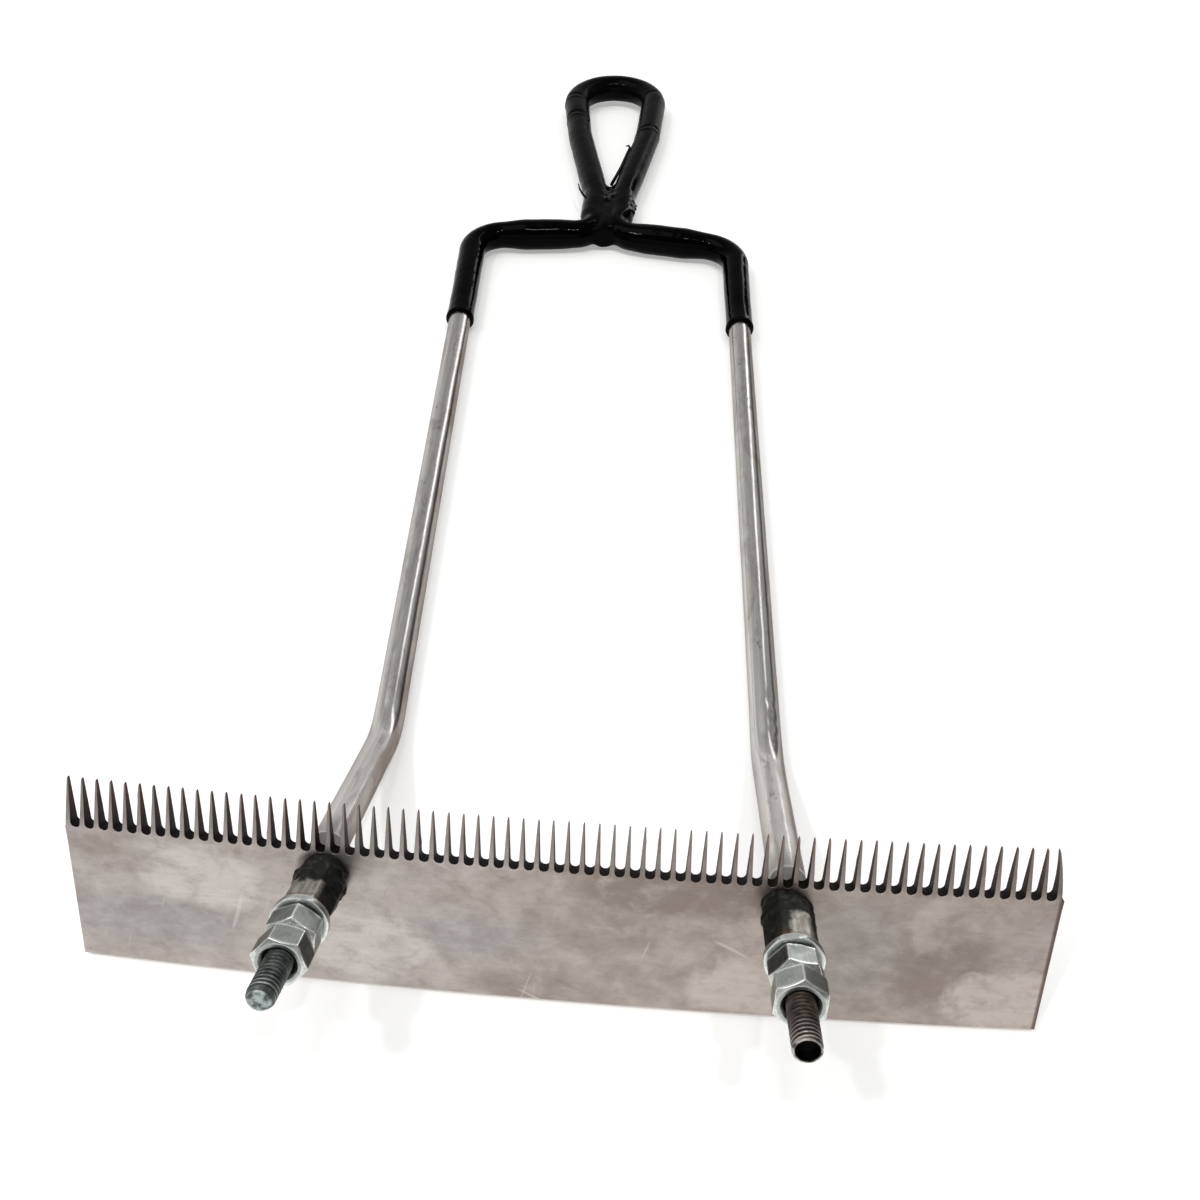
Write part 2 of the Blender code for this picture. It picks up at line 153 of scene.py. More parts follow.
LOOP_TOP = {"left": (-36.5 * MM, 388.0 * MM), "right": (3.4 * MM, 388.0 * MM)}
LOOP_TOP_RADIUS = 18.0 * MM
COAT_VOXEL = 0.6 * MM

# Dents and bulges of the kink above the right bend, in millimetres and degrees:
# distance above the bend, width, turn round the leg from its top, spread, and depth (bulges are negative)
KINK = (
    (6.5, 1.3, -34.0, 24.0, 0.16), (8.6, 1.0, -30.0, 22.0, -0.06), (10.6, 1.4, -32.0, 26.0, 0.22),
    (13.6, 1.5, -26.0, 26.0, -0.08), (16.8, 1.9, -20.0, 30.0, 0.20),
)

# Lumps at the neck: x, w, height above the frame plane and radius, in millimetres
NECK_LUMPS = (
    (-1.5, 278.8, 1.6, 1.4), (-0.4, 276.2, 0.4, 1.1), (-1.1, 271.4, 1.4, 1.4), (0.1, 279.8, -0.4, 0.8),
    (-2.1, 274.6, 2.4, 1.4), (-20.6, 274.4, 1.5, 1.7), (-19.6, 270.8, 0.4, 1.4), (-12.0, 276.2, 4.6, 1.2),
    (-10.0, 279.0, 4.3, 1.0), (-13.6, 281.5, 4.2, 1.0), (-11.2, 284.0, 3.9, 0.9), (-14.4, 277.6, 4.4, 0.8),
    (-9.4, 285.5, 3.6, 0.8),
)

# Thin threads of coating: points of (x, w, height), and a radius, in millimetres
THREADS = (
    (((-19.0, 271.5, 3.4), (-20.8, 276.5, 3.6), (-22.9, 281.0, 3.4), (-24.6, 285.6, 3.0),
      (-25.6, 290.2, 2.8)), 0.42),
    (((-11.4, 290.5, 3.0), (-9.9, 298.0, 2.9), (-8.4, 306.0, 2.8), (-7.2, 314.0, 2.7), (-6.2, 321.0, 2.6),
      (-5.6, 324.0, 2.6), (-6.4, 325.6, 2.8), (-7.3, 324.8, 2.9)), 0.46),
)

# Creases round the loop: x, w, width along the loop and depth (bulges are positive), in millimetres
WRINKLES = (
    (-35.0, 369.0, 0.8, -0.42), (-35.0, 366.6, 0.7, 0.18), (-34.6, 352.0, 1.0, -0.48),
    (-34.6, 349.6, 0.8, 0.24), (2.6, 374.0, 0.8, -0.30), (4.4, 341.0, 0.8, -0.36), (4.4, 338.6, 0.8, 0.26),
)
CREASE_SLANT = {"left": -0.12, "right": 0.28}

# The neck: its marks, and by w in millimetres where it is melted smooth and where the loop is dull
NOTCH_X, NOTCH_W = -10.7 * MM, 251.0 * MM
PINCH_W = 262.5 * MM
GROOVE_W = 286.0 * MM
SCUFF_X, SCUFF_W = -12.0 * MM, 281.0 * MM
NECK_MELTED = (243.0, 252.0, 292.0, 306.0)
MELT_ROUNDS = 12
LOOP_DULL = (290.0, 300.0, 377.0, 390.0)

# Where the weld nuts are ground bare: middle and half width in degrees, start in millimetres, and strength
BARE_PATCH = {"left": (96.0, 44.0, 8.5, 0.75), "right": (70.0, 26.0, 6.5, 1.0)}

# Stains on the comb plate: middle u, v and half size along u, v in millimetres, then strength
LIGHT_STAINS = (
    (-76.0, -9.0, 14.0, 8.0, 0.70), (-41.0, -23.0, 15.0, 9.0, 0.65), (42.0, -27.0, 13.0, 7.0, 0.90),
    (99.0, -27.0, 13.0, 9.0, 0.90), (80.0, -8.0, 4.0, 7.0, 0.35),
)
GREY_STAINS = (
    (-88.0, -22.0, 20.0, 7.0, 0.75), (-17.0, -18.0, 15.0, 6.0, 0.65), (64.0, -15.0, 12.0, 14.0, 0.70),
)
BROWN_STAINS = (
    (27.0, -3.0, 27.0, 6.0, 0.85), (-4.0, -30.0, 14.0, 4.0, 0.55), (84.0, -19.0, 13.0, 10.0, 0.75),
    (-100.0, -4.0, 7.0, 3.0, 0.60), (-72.0, -2.0, 6.0, 2.5, 0.55), (10.0, -14.0, 16.0, 6.0, 0.40),
)

# Colours of the studs' hollows, crests and worn places; the bright one is also a painted highlight on the
# left stud's tip
STUD_COLOURS = {
    "left": ((0.026, 0.028, 0.026), (0.15, 0.165, 0.155), (0.50, 0.56, 0.56)),
    "right": ((0.028, 0.022, 0.018), (0.13, 0.105, 0.09), (0.62, 0.57, 0.54)),
}
# painted shade, black, in the nuts' bores and countersinks, the washers' inner rings and the right stud's
# cup
PAINTED_HOLE_SHADE = (0.004, 0.004, 0.004)

# Each kind of stain: where, its colour, and how wide its border is
STAIN_LOOKS = (
    (BROWN_STAINS, (0.31, 0.262, 0.232), 0.14),
    (GREY_STAINS, (0.385, 0.372, 0.37), 0.16),
    (LIGHT_STAINS, (0.70, 0.645, 0.61), 0.07),
)

# Light: name, place, target, size and watts of each softbox
SOFTBOXES = (
    ("overhead", (-0.7, 0.1, 1.5), (0.0, 0.0, 0.0), (1.1, 1.1), 6.4),
    ("front_card", (-0.1, -1.5, 0.5), (0.0, -0.2, 0.05), (1.6, 0.8), 2.4),
    ("leg_strip", (0.42, 0.85, 0.5), (0.0, 0.0, 0.0), (0.08, 1.1), 1.1),
    ("tube_lamp", (-0.03, -0.42, 1.5), (0.0, 0.1, 0.0), (0.20, 0.04), 3.2),
    ("lamp_left", (-0.62, -0.5, 1.5), (0.0, 0.1, 0.0), (0.06, 0.06), 3.6),
    ("lamp_right", (0.36, -0.5, 1.5), (0.0, 0.1, 0.0), (0.06, 0.06), 3.6),
)
TABLE_HALF = 4.0
TABLE_DROP = 0.2 * MM              # keeps the table from touching the tool
TABLE_GLOW = 0.33

# Camera
LENS_MM = 32.378
SENSOR_MM = 36.0
CAMERA_PLACE = (0.0176, -0.3020, 0.2406)
CAMERA_DEGREES = (40.979, -0.261, 4.604)

LEAN_SIN, LEAN_COS = math.sin(COMB_LEAN), math.cos(COMB_LEAN)
RISE_SIN, RISE_COS = math.sin(LEG_RISE), math.cos(LEG_RISE)
COMB_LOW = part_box("comb_plate")[0]
COMB_Y = COMB_LOW.y + PLATE_BODY * LEAN_SIN
COMB_Z = COMB_LOW.z + PLATE_BODY * LEAN_COS + PLATE_THICK * LEAN_SIN


# Frames

def comb_points(u, v, n):
    """World points from arrays in the comb frame."""
    u, v, n = np.broadcast_arrays(u, v, n)
    return np.stack([u, COMB_Y + v * LEAN_SIN - n * LEAN_COS, COMB_Z + v * LEAN_COS + n * LEAN_SIN], axis=-1)


LEG_ORIGIN = comb_points(0.0, STUD_V, -LEG_START)


def frame_point(x, w, lift=0.0):
    """A world point of the frame plane, or one at a height above it."""
    return Vector((
        x,
        LEG_ORIGIN[1] + w * RISE_COS - lift * RISE_SIN,
        LEG_ORIGIN[2] + w * RISE_SIN + lift * RISE_COS,
    ))


def frame_plane(points):
    """x, w and height above the frame plane of world points."""
    y, z = points[:, 1] - LEG_ORIGIN[1], points[:, 2] - LEG_ORIGIN[2]
    return points[:, 0], y * RISE_COS + z * RISE_SIN, z * RISE_COS - y * RISE_SIN


def stud_points(side, radius, angle, n):
    """World points round a stud's axis."""
    return comb_points(STUD_U[side] + radius * np.cos(angle), STUD_V + radius * np.sin(angle), n)


def leg_point(side, w):
    """A point on a leg's centreline between its bend and its shoulder."""
    shoulder_x, shoulder_w = SHOULDER[side]
    return frame_point(STUD_U[side] + (shoulder_x - STUD_U[side]) * w / shoulder_w, w)


# Numbers

def spread(*parts):
    """Arrays broadcast together and stacked along a new last axis."""
    return np.stack(np.broadcast_arrays(*parts), axis=-1)


def blend(low, high, value):
    """A smooth step from 0 at low to 1 at high."""
    share = np.clip((value - low) / (high - low), 0.0, 1.0)
    return share * share * (3.0 - 2.0 * share)


def between(stops, value):
    """A smooth hill: 0 at the first and last of four stops, and 1 from the second to the third."""
    low, full, last_full, end = stops
    return blend(low, full, value) * blend(end, last_full, value)


def bump(middle, width, value):
    """A bell of height 1."""
    return np.exp(-((value - middle) / width) ** 2)


def turn_between(angle, middle):
    """How far each angle is turned from a middle one, from -pi to pi."""
    return (angle - middle + math.pi) % math.tau - math.pi


def rough(points, scale, octaves, seed):
    """Fractal noise between about -1 and 1 at each point, in the shape of the array of points."""
    shift = Vector((seed, 1.7 * seed, -2.3 * seed))
    values = [
        noise.fractal(Vector(point) * scale + shift, 0.7, 2.0, octaves, noise_basis="PERLIN_ORIGINAL")
        for point in points.reshape(-1, 3)
    ]
    return np.array(values).reshape(points.shape[:-1])


# Meshes

def make_piece(node, points, faces, material, body, attributes, sharp):
    """A mesh piece in place of a CAD node, riding on its body, with values for its material."""
    name = f"{node}_fine"
    mesh = bpy.data.meshes.new(name)
    mesh.from_pydata(np.asarray(points).reshape(-1, 3).tolist(), [], faces)
    for key, values in attributes.items():
        values = np.asarray(values, dtype=np.float32).ravel()
        kind, field = ("FLOAT", "value") if len(values) == len(mesh.vertices) else ("FLOAT_VECTOR", "vector")
        mesh.attributes.new(key, kind, "POINT").data.foreach_set(field, values)
    face_up(mesh)
    mesh.shade_smooth()
    if sharp is not None:
        mesh.set_sharp_from_angle(angle=math.radians(sharp))
    mesh.materials.append(material)
    piece = bpy.data.objects.new(name, mesh)
    bpy.context.scene.collection.objects.link(piece)
    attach(piece, body)
    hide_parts(node)


def face_up(mesh):
    """Turn all faces outwards."""
    work = bmesh.new()
    work.from_mesh(mesh)
    bmesh.ops.recalc_face_normals(work, faces=work.faces)
    work.to_mesh(mesh)
    work.free()


def grid_faces(rows, columns, first=0, closed_rows=False, closed_columns=True):
    """Quads over a grid of points that is stored row by row."""
    faces = []
    for row in range(rows if closed_rows else rows - 1):
        near = first + row * columns
        far = first + (row + 1) % rows * columns
        for column in range(columns if closed_columns else columns - 1):
            after = (column + 1) % columns
            faces.append((near + column, near + after, far + after, far + column))
    return faces


def wall_faces(near, far):
    """Quads between two closed loops of point numbers."""
    after = [(side + 1) % len(near) for side in range(len(near))]
    return [(near[side], near[then], far[then], far[side]) for side, then in enumerate(after)]


def cap_faces(ring_first, count, centre):
    """Triangles from a ring to a centre point."""
    return [(ring_first + side, ring_first + (side + 1) % count, centre) for side in range(count)]


# Comb

def tooth_middles():
    """The u of each tooth's middle."""
    return -PLATE_HALF + FIRST_TOOTH + TOOTH_PITCH * np.arange(TOOTH_COUNT)


def comb_columns(edge, inset):
    """Columns across the comb's body: u, the height where each ends, and which are tooth roots."""
    quarter = np.radians(np.linspace(0.0, 90.0, 5))
    half = np.radians(np.linspace(0.0, 180.0, 11))
    middles = tooth_middles()
    radius = GULLET_RADIUS + inset
    root = ROOT_HALF - inset
    left_step = middles[0] - root - (-PLATE_HALF + edge)
    right_step = (PLATE_HALF - edge) - (middles[-1] + root)
    u = list(-PLATE_HALF + edge + left_step * np.sin(quarter))
    top = list(GULLET_RADIUS - radius * np.cos(quarter))
    roots = []
    for index, middle in enumerate(middles):
        roots.append(len(u) - 1)
        u.append(middle)
        top.append(GULLET_RADIUS)
        if index < TOOTH_COUNT - 1:
            gullet = middle + TOOTH_PITCH / 2.0
            u += list(gullet - radius * np.cos(half))
            top += list(GULLET_RADIUS - radius * np.sin(half))
        else:
            u += list(PLATE_HALF - edge - right_step * np.sin(quarter[::-1]))
            top += list(GULLET_RADIUS - radius * np.cos(quarter[::-1]))
    return np.array(u), np.array(top), roots


def tooth_rows(inset, lean, drop, nick):
    """Rows up one tooth above its root: (left, middle, right) offsets from its middle, and height."""
    share = np.array(TOOTH_LEVELS)
    tip = TOOTH_HEIGHT - drop - inset
    height = GULLET_RADIUS + (tip - GULLET_RADIUS) * share
    half = (ROOT_HALF + (TOOTH_TIP_HALF - ROOT_HALF) * share - inset) * np.array(TOOTH_NARROW)
    half = np.maximum(half, 0.02 * MM)
    shift = lean * share ** 2
    bulge = nick[1] * bump(nick[0], 0.06, share)
    offsets = np.stack([shift - half - np.maximum(bulge, 0.0), shift, shift + half - np.minimum(bulge, 0.0)])
    return offsets.T, height


def comb_face(edge, inset, wear):
    """All points of one face of the comb, as (u, v): the body's rows, then each tooth's rows."""
    u, top, roots = comb_columns(edge, inset)
    bottom = -PLATE_BODY + edge
    body_v = bottom + np.array(BODY_LEVELS)[:, None] * (top[None, :] - bottom)
    parts = [spread(u, body_v).reshape(-1, 2)]
    for index, middle in enumerate(tooth_middles()):
        lean, drop, nick = wear[index]
        offsets, height = tooth_rows(inset, lean, drop, nick)
        parts.append(spread(middle + offsets, height[:, None]).reshape(-1, 2))
    return np.concatenate(parts), len(u), roots


def comb_topology(columns, roots):
    """Quads of one face and the loop of point numbers round its outline."""
    levels, steps = len(BODY_LEVELS), len(TOOTH_LEVELS)
    faces = grid_faces(levels, columns, closed_columns=False)
    top_row = (levels - 1) * columns
    outline = list(range(columns))
    outline += [row * columns + columns - 1 for row in range(1, levels)]
    column = columns - 2
    for index in reversed(range(TOOTH_COUNT)):
        first = levels * columns + index * steps * 3
        root = top_row + roots[index]
        rows = [[root, root + 1, root + 2]]
        rows += [[first + step * 3 + place for place in range(3)] for step in range(steps)]
        for low, high in zip(rows, rows[1:]):
            faces += [(low[0], low[1], high[1], high[0]), (low[1], low[2], high[2], high[1])]
        while top_row + column >= root + 2:
            outline.append(top_row + column)
            column -= 1
        outline += [row[2] for row in rows[1:]]
        outline.append(rows[-1][1])
        outline += [row[0] for row in reversed(rows)]
        column = roots[index] - 1
    while column >= 0:
        outline.append(top_row + column)
        column -= 1
    outline += [row * columns for row in reversed(range(1, levels - 1))]
    return faces, outline


def comb_front(v):
    """The n of the front face: flat on the body, and ground back up the teeth."""
    share = np.clip((v - GULLET_RADIUS) / (TOOTH_HEIGHT - GULLET_RADIUS), 0.0, 1.0)
    return -TOOTH_GROUND * share


def comb_bow(u):
    """How far the plate stands in front of a flat one: bowed, and true at the studs."""
    at_studs = 1.0 - (STUD_U["right"] / PLATE_HALF) ** 2
    return PLATE_BOW * (1.0 - (u / PLATE_HALF) ** 2 - at_studs)


def make_comb(material):
    """The toothed plate, slightly bowed, with each tooth a little different."""
    random = np.random.default_rng(11)
    wear = []
    for _ in range(TOOTH_COUNT):
        lean = random.normal(0.0, 0.05 * MM)
        drop = random.uniform(0.0, 0.14 * MM)
        burr = random.choice([0.0, 0.0, 0.0, 0.0, 0.09, -0.09]) * MM
        wear.append((lean, drop, (random.uniform(0.2, 0.8), burr)))
    wear[-1] = (BENT_TOOTH, *wear[-1][1:])
    inner, columns, roots = comb_face(PLATE_EDGE, TOOTH_EDGE, wear)
    outer = comb_face(0.0, 0.0, wear)[0]
    faces, outline = comb_topology(columns, roots)
    outline_uv = outer[outline]
    chamfer = TOOTH_EDGE + (PLATE_EDGE - TOOTH_EDGE) * (outline_uv[:, 1] < -0.1 * MM)
    front = comb_front(outline_uv[:, 1]) - chamfer
    back = -PLATE_THICK + chamfer
    depths = [comb_front(inner[:, 1]), front, (front + back) / 2.0, back, np.full(len(inner), -PLATE_THICK)]
    plan = [inner, outline_uv, outline_uv, outline_uv, inner]
    points, cut = [], []
    for index, (uv, depth) in enumerate(zip(plan, depths)):
        place = comb_points(uv[:, 0], uv[:, 1], depth)
        place[:, 1] -= comb_bow(uv[:, 0])
        points.append(place)
        cut.append(np.full(len(uv), 1.0 if 0 < index < 4 else 0.0))
    first_back = len(inner) + 3 * len(outline)
    rings = [range(first, first + len(outline)) for first in range(len(inner), first_back, len(outline))]
    loops = [outline, *rings, [first_back + point for point in outline]]
    faces += [tuple(first_back + point for point in reversed(face)) for face in faces]
    for near, far in zip(loops, loops[1:]):
        faces += wall_faces(near, far)
    plate_uv = np.concatenate([np.c_[uv, np.zeros(len(uv))] for uv in plan])
    make_piece("comb_plate", np.concatenate(points), faces, material, "fork_frame",
               {"cut": np.concatenate(cut), "plate": plate_uv}, sharp=25.0)


# Paths

def rounded_path(corners, step):
    """Points along corners of (point, corner radius, size), with the size at each, a step apart."""
    stations = [(Vector(corners[0][0]), corners[0][2])]
    for before, here, after in zip(corners, corners[1:], corners[2:]):
        point, radius, size = here
        back = (Vector(before[0]) - point).normalized()
        ahead = (Vector(after[0]) - point).normalized()
        turn = math.pi - back.angle(ahead)
        if radius == 0.0 or turn < math.radians(0.5):
            stations.append((Vector(point), size))
            continue
        centre = point + (back + ahead).normalized() * (radius / math.cos(turn / 2.0))
        start = point + back * (radius * math.tan(turn / 2.0)) - centre
        axis = (-back).cross(ahead).normalized()
        steps = max(2, math.ceil(turn * radius / step))
        for index in range(steps + 1):
            spoke = Matrix.Rotation(turn * index / steps, 3, axis) @ start
            stations.append((centre + spoke, size))
    stations.append((Vector(corners[-1][0]), corners[-1][2]))
    points, sizes = [stations[0][0]], [stations[0][1]]
    for (here, size), (there, next_size) in zip(stations, stations[1:]):
        length = (there - here).length
        if length < 1e-7:
            continue
        pieces = max(1, round(length / step))
        for index in range(1, pieces + 1):
            points.append(here.lerp(there, index / pieces))
            sizes.append(size + (next_size - size) * index / pieces)
    return np.array([tuple(point) for point in points]), np.array(sizes)


def path_axes(path):
    """Unit vectors up and across at each point of a path near the frame plane."""
    tangent = np.gradient(path, axis=0)
    tangent /= np.linalg.norm(tangent, axis=1)[:, None]
    plane_up = np.array([0.0, -RISE_SIN, RISE_COS])
    up = plane_up - tangent * (tangent @ plane_up)[:, None]
    up /= np.linalg.norm(up, axis=1)[:, None]
    return up, np.cross(tangent, up)


def path_lengths(path):
    """The distance along a path of each of its points."""
    return np.concatenate([[0.0], np.cumsum(np.linalg.norm(np.diff(path, axis=0), axis=1))])


def sweep(path, radius, sides):
    """Points round a path; radius is an array that spreads over (points, sides)."""
    up, across = path_axes(path)
    angle = math.tau * np.arange(sides) / sides
    radius = np.broadcast_to(radius, (len(path), sides))
    spoke = up[:, None] * np.cos(angle)[None, :, None] + across[:, None] * np.sin(angle)[None, :, None]
    return path[:, None] + spoke * radius[..., None], angle


def leg_corners(side):
    """Corners of the centreline from the comb to the top of the loop, with the coating's radius."""
    sign = -1.0 if side == "left" else 1.0
    shoulder_x, shoulder_w = SHOULDER[side]
    neck_x = NECK_X + sign * NECK_HALF
    bar_slope = (NECK_BASE_W - shoulder_w) / (neck_x - shoulder_x)
    end = comb_points(STUD_U[side], STUB_V, -(PLATE_THICK + GAP))

    def bar_point(x):
        return frame_point(x, shoulder_w + bar_slope * (x - shoulder_x))

    return [
        (Vector(end), 0.0, SLEEVE_RADIUS),
        (leg_point(side, BEND_W), BEND_RADIUS, SLEEVE_RADIUS),
        (leg_point(side, RIM_W[side]), 0.0, SLEEVE_RADIUS),
        (frame_point(shoulder_x, shoulder_w), SHOULDER_RADIUS[side], 1.06 * SLEEVE_RADIUS),
        (bar_point(shoulder_x - sign * BAR_START), 0.0, BAR_RADIUS),
        (bar_point(neck_x + sign * BAR_END), 0.0, BAR_RADIUS),
        (frame_point(neck_x, NECK_BASE_W), NECK_BASE_RADIUS, NECK_RADIUS),
        (frame_point(neck_x, NECK_TOP_W), NECK_HALF * 3.0, NECK_RADIUS),
        (frame_point(*LOOP_MID[side]), LOOP_MID_RADIUS, LOOP_RADIUS),
        (frame_point(*LOOP_TOP[side]), LOOP_TOP_RADIUS, LOOP_END_RADIUS),
    ]


# Frame tube

def make_tube(material):
    """The bent tube, slightly flattened in its bends, with a kink above the right one."""
    path, _ = rounded_path(leg_corners("left") + leg_corners("right")[::-1], 1.0 * MM)
    along = path_lengths(path)
    from_right = along[-1] - along
    to_end = np.minimum(along, from_right)
    stub_end, bend = (corner[0] for corner in leg_corners("right")[:2])
    bend_at = (bend - stub_end).length
    outer, angle = sweep(path, TUBE_RADIUS, TUBE_SIDES)
    flatten = 0.045 * bump(bend_at, 9.0 * MM, to_end)
    radius = np.full(outer.shape[:2], TUBE_RADIUS)
    radius *= 1.0 - flatten[:, None] * np.cos(angle)[None, :] ** 2
    radius *= 1.0 + 0.6 * flatten[:, None] * np.sin(angle)[None, :] ** 2
    spots = spread(along[:, None] * 60.0, 1.2 * np.cos(angle), 1.2 * np.sin(angle))
    radius += 0.035 * MM * rough(spots, 1.0, 2, 4.0)
    for place, width, turn, reach, depth in KINK:
        off = turn_between(angle, math.radians(turn))
        near = bump(bend_at + place * MM, width * MM, from_right)[:, None]
        radius -= depth * MM * near * bump(0.0, math.radians(reach), off)[None, :]
    outer, _ = sweep(path, radius, TUBE_SIDES)
    keep = np.unique(np.r_[0:len(path):6, len(path) - 1])
    bore = np.full((len(keep), 1), TUBE_RADIUS - TUBE_WALL)
    bore[[0, -1]] = 0.05 * MM                     # weld closes the ends
    inner, _ = sweep(path[keep], bore, TUBE_SIDES)
    inside = len(path) * TUBE_SIDES
    faces = grid_faces(len(path), TUBE_SIDES) + grid_faces(len(keep), TUBE_SIDES, inside)
    ring = range(TUBE_SIDES)
    last, inside_last = inside - TUBE_SIDES, inside + (len(keep) - 1) * TUBE_SIDES
    for near, far in ((0, inside), (last, inside_last)):
        faces += wall_faces([near + side for side in ring], [far + side for side in ring])
    flow = spread(along[:, None], TUBE_RADIUS * np.cos(angle), TUBE_RADIUS * np.sin(angle))
    point_to_end = np.repeat(np.concatenate([to_end, to_end[keep]]), TUBE_SIDES)
    attributes = {
        "flow": np.concatenate([flow, flow[keep]]),
        "burnt": 1.0 - blend(1.0 * MM, 9.0 * MM, point_to_end),
        "capped": point_to_end < 0.1 * MM,
    }
    make_piece("frame_tube", np.concatenate([outer, inner]), faces, material, "fork_frame",
               attributes, sharp=50.0)


# Coating

def add_rod(work, points, radii, sides=24):
    """A closed rod through points."""
    path = np.array([tuple(point) for point in points])
    rings, _ = sweep(path, np.asarray(radii)[:, None], sides)
    base = [work.verts.new(point) for point in rings.reshape(-1, 3)]
    for face in grid_faces(len(path), sides):
        work.faces.new([base[index] for index in face])
    work.faces.new(base[:sides][::-1])
    work.faces.new(base[-sides:])


def add_web(work):
    """The skin that fills the neck between the two runs of tube."""
    share = np.linspace(0.0, 1.0, 24)
    line = [frame_point(NECK_X, WEB_START + (WEB_END - WEB_START) * step) for step in share]
    add_rod(work, line, WEB_RADIUS - WEB_TAPER * share ** 2)


def remesh(work):
    """One closed skin round everything in a bmesh, as a mesh."""
    bmesh.ops.recalc_face_normals(work, faces=work.faces)
    mesh = bpy.data.meshes.new("coating_blank")
    work.to_mesh(mesh)
    work.free()
    lump = bpy.data.objects.new("coating_blank", mesh)
    bpy.context.scene.collection.objects.link(lump)
    modifier = lump.modifiers.new("skin", "REMESH")
    modifier.mode = "VOXEL"
    modifier.voxel_size = COAT_VOXEL
    modifier = lump.modifiers.new("melt", "SMOOTH")
    modifier.factor = 0.5
    modifier.iterations = 5
    graph = bpy.context.evaluated_depsgraph_get()
    done = bpy.data.meshes.new_from_object(lump.evaluated_get(graph))
    bpy.data.objects.remove(lump, do_unlink=True)
    bpy.data.meshes.remove(mesh)
    return done


def mesh_arrays(mesh):
    """A mesh's points, normals and faces."""
    count = len(mesh.vertices)
    points = np.empty(count * 3, dtype=np.float32)
    normals = np.empty(count * 3, dtype=np.float32)
    mesh.vertices.foreach_get("co", points)
    mesh.vertex_normals.foreach_get("vector", normals)
    faces = [tuple(polygon.vertices) for polygon in mesh.polygons]
    return points.reshape(-1, 3).astype(float), normals.reshape(-1, 3).astype(float), faces


def edge_pairs(faces):
    """Every edge once, as two columns of point numbers."""
    pairs = set()
    for face in faces:
        for near, far in zip(face, face[1:] + face[:1]):
            pairs.add((near, far) if near < far else (far, near))
    return np.array(sorted(pairs))


def melt(points, pairs, weight, rounds):
    """Pull points towards the middle of their neighbours, by weight."""
    count = np.bincount(pairs.ravel(), minlength=len(points))[:, None]
    for _ in range(rounds):
        total = np.zeros_like(points)
        np.add.at(total, pairs[:, 0], points[pairs[:, 1]])
        np.add.at(total, pairs[:, 1], points[pairs[:, 0]])
        points = points + (total / count - points) * weight[:, None]
    return points


def coating_blank(path, radii):
    """The points, normals and faces of the plain skin: rods and lumps melted together."""
    work = bmesh.new()
    add_rod(work, path, radii)
    add_web(work)
    for x, w, lift, radius in NECK_LUMPS:
        place = Matrix.Translation(frame_point(x * MM, w * MM, lift * MM))
        bmesh.ops.create_icosphere(work, subdivisions=2, radius=radius * MM, matrix=place)
    mesh = remesh(work)
    points, normals, faces = mesh_arrays(mesh)
    bpy.data.meshes.remove(mesh)
    x, w, _ = frame_plane(points)
    neck = bump(NECK_X, 17.0 * MM, x) * between(NECK_MELTED, w / MM)
    return melt(points, edge_pairs(faces), 0.5 * neck, MELT_ROUNDS), normals, faces


def coating_swell(points, path):
    """How far the skin stands out from the plain one: rims, waves, creases, and marks in the neck."""
    tree = kdtree.KDTree(len(path))
    for index, station in enumerate(path):
        tree.insert(station, index)
    tree.balance()
    nearest = np.array([tree.find(point)[1] for point in points])
    lengths = path_lengths(path)
    x, w, lift = frame_plane(points)
    rim = w - np.where(lengths[nearest] < lengths[-1] / 2.0, RIM_W["left"], RIM_W["right"])
    on_leg = (np.abs(x - NECK_X) > 34.0 * MM) & (w < 235.0 * MM)
    swell = 0.55 * MM * np.exp(-np.maximum(rim, 0.0) / (3.0 * MM)) * blend(-0.4 * MM, 0.1 * MM, rim)
    swell = np.where(on_leg, swell, 0.0)
    swell += 0.10 * MM * rough(points, 90.0, 2, 1.0) + 0.035 * MM * rough(points, 420.0, 2, 2.0)
    for near_x, near_w, width, depth in WRINKLES:
        near = np.abs(x - near_x * MM) < 9.0 * MM
        slope = (x - near_x * MM) * CREASE_SLANT["left" if near_x * MM < NECK_X else "right"]
        swell += np.where(near, depth * MM * bump(near_w * MM, width * MM, w - slope), 0.0)
    swell -= 0.9 * MM * (bump(NOTCH_X, 3.2 * MM, x) * bump(NOTCH_W, 3.5 * MM, w))
    swell -= 0.8 * MM * (bump(NECK_X, 1.1 * MM, x) * bump(GROOVE_W, 5.0 * MM, w) * (lift > 0.0))
    return swell


def make_coating(material):
    """The dipped skin, with a pinched neck and two loose threads; the loop is duller than the rest."""
    path, radii = rounded_path(leg_corners("left")[2:] + leg_corners("right")[:1:-1], 1.0 * MM)
    points, normals, faces = coating_blank(path, radii)
    x, w, _ = frame_plane(points)
    points = points + normals * coating_swell(points, path)[:, None]
    pinched = bump(PINCH_W, 3.6 * MM, w) * (np.abs(x - NECK_X) < 14.0 * MM)
    points[:, 0] -= 0.17 * pinched * (x - NECK_X)
    scuff = bump(SCUFF_X, 6.0 * MM, x) * bump(SCUFF_W, 7.0 * MM, w)
    dull = np.maximum(between(LOOP_DULL, w / MM), 0.5 * scuff)
    threads = bmesh.new()
    for stations, radius in THREADS:
        line = [frame_point(x * MM, w * MM, lift * MM) for x, w, lift in stations]
        thin = radius * MM * np.concatenate([np.linspace(1.6, 1.0, len(line) - 1), [0.6]])
        add_rod(threads, line, thin, 10)
    extra = len(points)
    threads.verts.index_update()
    points = np.concatenate([points, [tuple(vertex.co) for vertex in threads.verts]])
    faces += [tuple(extra + vertex.index for vertex in face.verts) for face in threads.faces]
    dull = np.concatenate([dull, np.zeros(len(threads.verts))])
    threads.free()
    make_piece("handle_coating", points, faces, material, "fork_frame",
               {"dull": dull}, sharp=None)


# Fasteners

